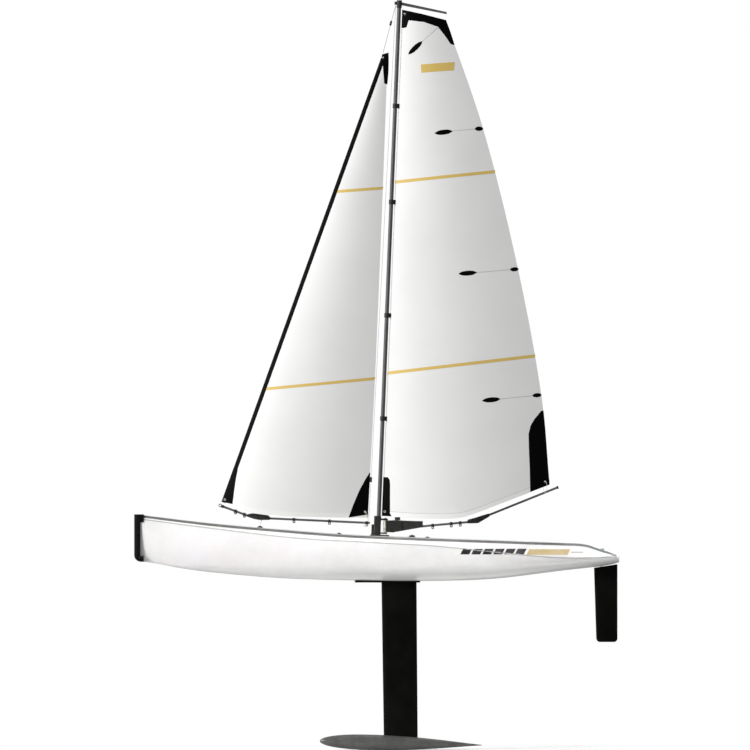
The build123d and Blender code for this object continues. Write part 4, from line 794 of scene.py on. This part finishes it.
def long_film(tree, low, high, side):
    """Film along the whole side, between two heights given at each x."""
    def spot(u, v):
        x = TRIM_START + (TRIM_END - TRIM_START) * u
        return x, low(x) + (high(x) - low(x)) * v

    return side_film(tree, TRIM_COLUMNS, 2, spot, side)


def slanted_film(tree, start, end, low, high, side):
    """Block of film with slanting ends."""
    slant = 0.5 * (high - low)
    return side_film(tree, 12, 6, lambda u, v: (start + (end - start) * u + slant * (v - 0.5),
                                                low + (high - low) * v), side)


class YACHT_OT_hull_trim(Operator):
    """Lay the edge lines and the stern stripes on the hull"""
    bl_idname = "yacht.hull_trim"
    bl_label = "Hull trim"

    def execute(self, context):
        deck, shell = solid_tree("deck_moulding"), solid_tree("hull_shell")
        hull = solid_tree("deck_moulding", "hull_shell")
        tops = [(x, top_height(deck, x)) for x in STATIONS]
        rims = [(x, top_height(shell, x)) for x in STATIONS]
        edge, seam, dark, amber, grey = [], [], [], [], []
        for side in (PORT, STARBOARD):
            edge.append(long_film(
                deck, lambda x: max(value_on(tops, x) - 5.0 * MM, value_on(rims, x) + 0.5 * MM),
                lambda x: value_on(tops, x) - 0.25 * MM, side))
            seam.append(long_film(shell, lambda x: value_on(rims, x) - 2.3 * MM,
                                  lambda x: value_on(rims, x) - 0.2 * MM, side))
            for i in range(DARK_BLOCKS):
                x = DARK_START + DARK_PITCH * i
                dark.append(slanted_film(hull, x, x + DARK_LENGTH, 0.0535, 0.0645, side))
            amber.append(slanted_film(hull, 0.253, 0.334, 0.0525, 0.0635, side))
            grey.append(slanted_film(hull, 0.338, 0.362, 0.0565, 0.0585, side))
        for name, films, material in (
                ("deck_edge_line", edge, "Grey_edge_trim"), ("hull_seam_line", seam, "Grey_vinyl_film"),
                ("stern_stripes_dark", dark, "Dark_vinyl_film"),
                ("stern_stripe_amber", amber, "Amber_vinyl_film"),
                ("stern_stripe_grey", grey, "Grey_vinyl_film")):
            piece = joined(name, films, surface(material))
            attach(piece, HULL)
        return {"FINISHED"}


# ---- Stage ----------------------------------------------------------------------------
def soft_light(name, place, target, size, power, spread=180):
    """White panel light; a narrow spread in degrees makes it a gridded strip."""
    data = bpy.data.lights.new(name, "AREA")
    data.shape, data.energy, data.spread = "RECTANGLE", power, math.radians(spread)
    data.size, data.size_y = size
    light = bpy.data.objects.new(name, data)
    light.location = place
    light.rotation_euler = (Vector(target) - Vector(place)).to_track_quat("-Z", "Y").to_euler()
    bpy.context.scene.collection.objects.link(light)


class YACHT_OT_stage(Operator):
    """Set the floor, the soft lights and the camera"""
    bl_idname = "yacht.stage"
    bl_label = "Stage"

    def execute(self, context):
        stage = context.scene.yacht_stage
        low, high = CAD_BOX
        bpy.ops.object.select_all(action="DESELECT")
        bpy.ops.mesh.primitive_circle_add(vertices=96, radius=stage.floor_radius, fill_type="NGON",
                                          location=(0, 0, low.z - 0.2 * MM))
        floor = context.object
        floor.name = "paper_floor"
        bpy.ops.object.mode_set(mode="EDIT")
        bpy.ops.mesh.select_all(action="SELECT")
        bpy.ops.mesh.inset(thickness=0.02)
        bpy.ops.object.mode_set(mode="OBJECT")
        bpy.ops.object.transform_apply(location=True, rotation=True, scale=True)
        floor.data.materials.append(surface("White_studio_paper"))
        soft_light("Key", (-5.0, -2.9, 2.2), (0, 0, 0.35), (1.8, 1.8), stage.key_power)
        soft_light("Hull_strip", (0.0, -2.4, 1.9), (-0.04, -0.05, 0.055), (1.05, 0.06), stage.strip_power, 3)
        soft_light("Overhead", (0.3, 0.6, 4.2), (0, 0, 0), (2.4, 2.4), stage.key_power * 0.12)
        soft_light("Back_fill", (2.2, 4.6, 2.4), (0, 0, 0.35), (3.0, 3.0), stage.key_power * 0.4)
        world = bpy.data.worlds.new("Bright_room")
        world.use_nodes = True
        context.scene.world = world
        tree = world.node_tree
        room = tree.nodes["Background"]
        room.inputs["Color"].default_value = linear("#FFFFFF")
        room.inputs["Strength"].default_value = stage.sky_strength
        seen = add(tree, "ShaderNodeBackground", {"Color": linear("#FFFFFF"), "Strength": 1.0})
        path = add(tree, "ShaderNodeLightPath")
        mixed = add(tree, "ShaderNodeMixShader", {0: path.outputs["Is Camera Ray"],
                                                  1: room.outputs["Background"],
                                                  2: seen.outputs["Background"]})
        tree.links.new(mixed.outputs["Shader"], tree.nodes["World Output"].inputs["Surface"])
        context.scene.view_settings.view_transform = "Standard"
        data = bpy.data.cameras.new("Camera")
        data.lens = data.sensor_width * stage.camera_distance / stage.view_width
        data.clip_end = 100
        camera = bpy.data.objects.new("Camera", data)
        camera.location = (VIEW_CENTRE[0], -stage.camera_distance, VIEW_CENTRE[1])
        camera.rotation_euler = (math.radians(90), 0, 0)
        context.scene.collection.objects.link(camera)
        context.scene.camera = camera
        return {"FINISHED"}


# ---- Sidebar and registration ---------------------------------------------------------
PIECES = (YACHT_OT_part_finishes, YACHT_OT_lines, YACHT_OT_mainsail, YACHT_OT_jib, YACHT_OT_lashings,
          YACHT_OT_hull_trim, YACHT_OT_stage)
SETTINGS = {"yacht_sails": SailSettings, "yacht_finishes": FinishSettings, "yacht_stage": StageSettings}


class YACHT_PT_panel(Panel):
    bl_label = "Sailing yacht"
    bl_idname = "YACHT_PT_panel"
    bl_space_type = "VIEW_3D"
    bl_region_type = "UI"
    bl_category = "Sailing yacht"

    def draw(self, context):
        for piece in PIECES:
            self.layout.operator(piece.bl_idname)
        for group, kind in SETTINGS.items():
            box = self.layout.box()
            for name in kind.__annotations__:
                box.prop(getattr(context.scene, group), name)


def register():
    for kind in (*SETTINGS.values(), *PIECES, YACHT_PT_panel):
        bpy.utils.register_class(kind)
    for group, kind in SETTINGS.items():
        setattr(bpy.types.Scene, group, PointerProperty(type=kind))


def unregister():
    for group in SETTINGS:
        delattr(bpy.types.Scene, group)
    for kind in (YACHT_PT_panel, *reversed(PIECES), *SETTINGS.values()):
        bpy.utils.unregister_class(kind)


def main():
    register()
    for piece in PIECES:
        group, name = piece.bl_idname.split(".")
        getattr(getattr(bpy.ops, group), name)()


if __name__ == "__main__":
    main()
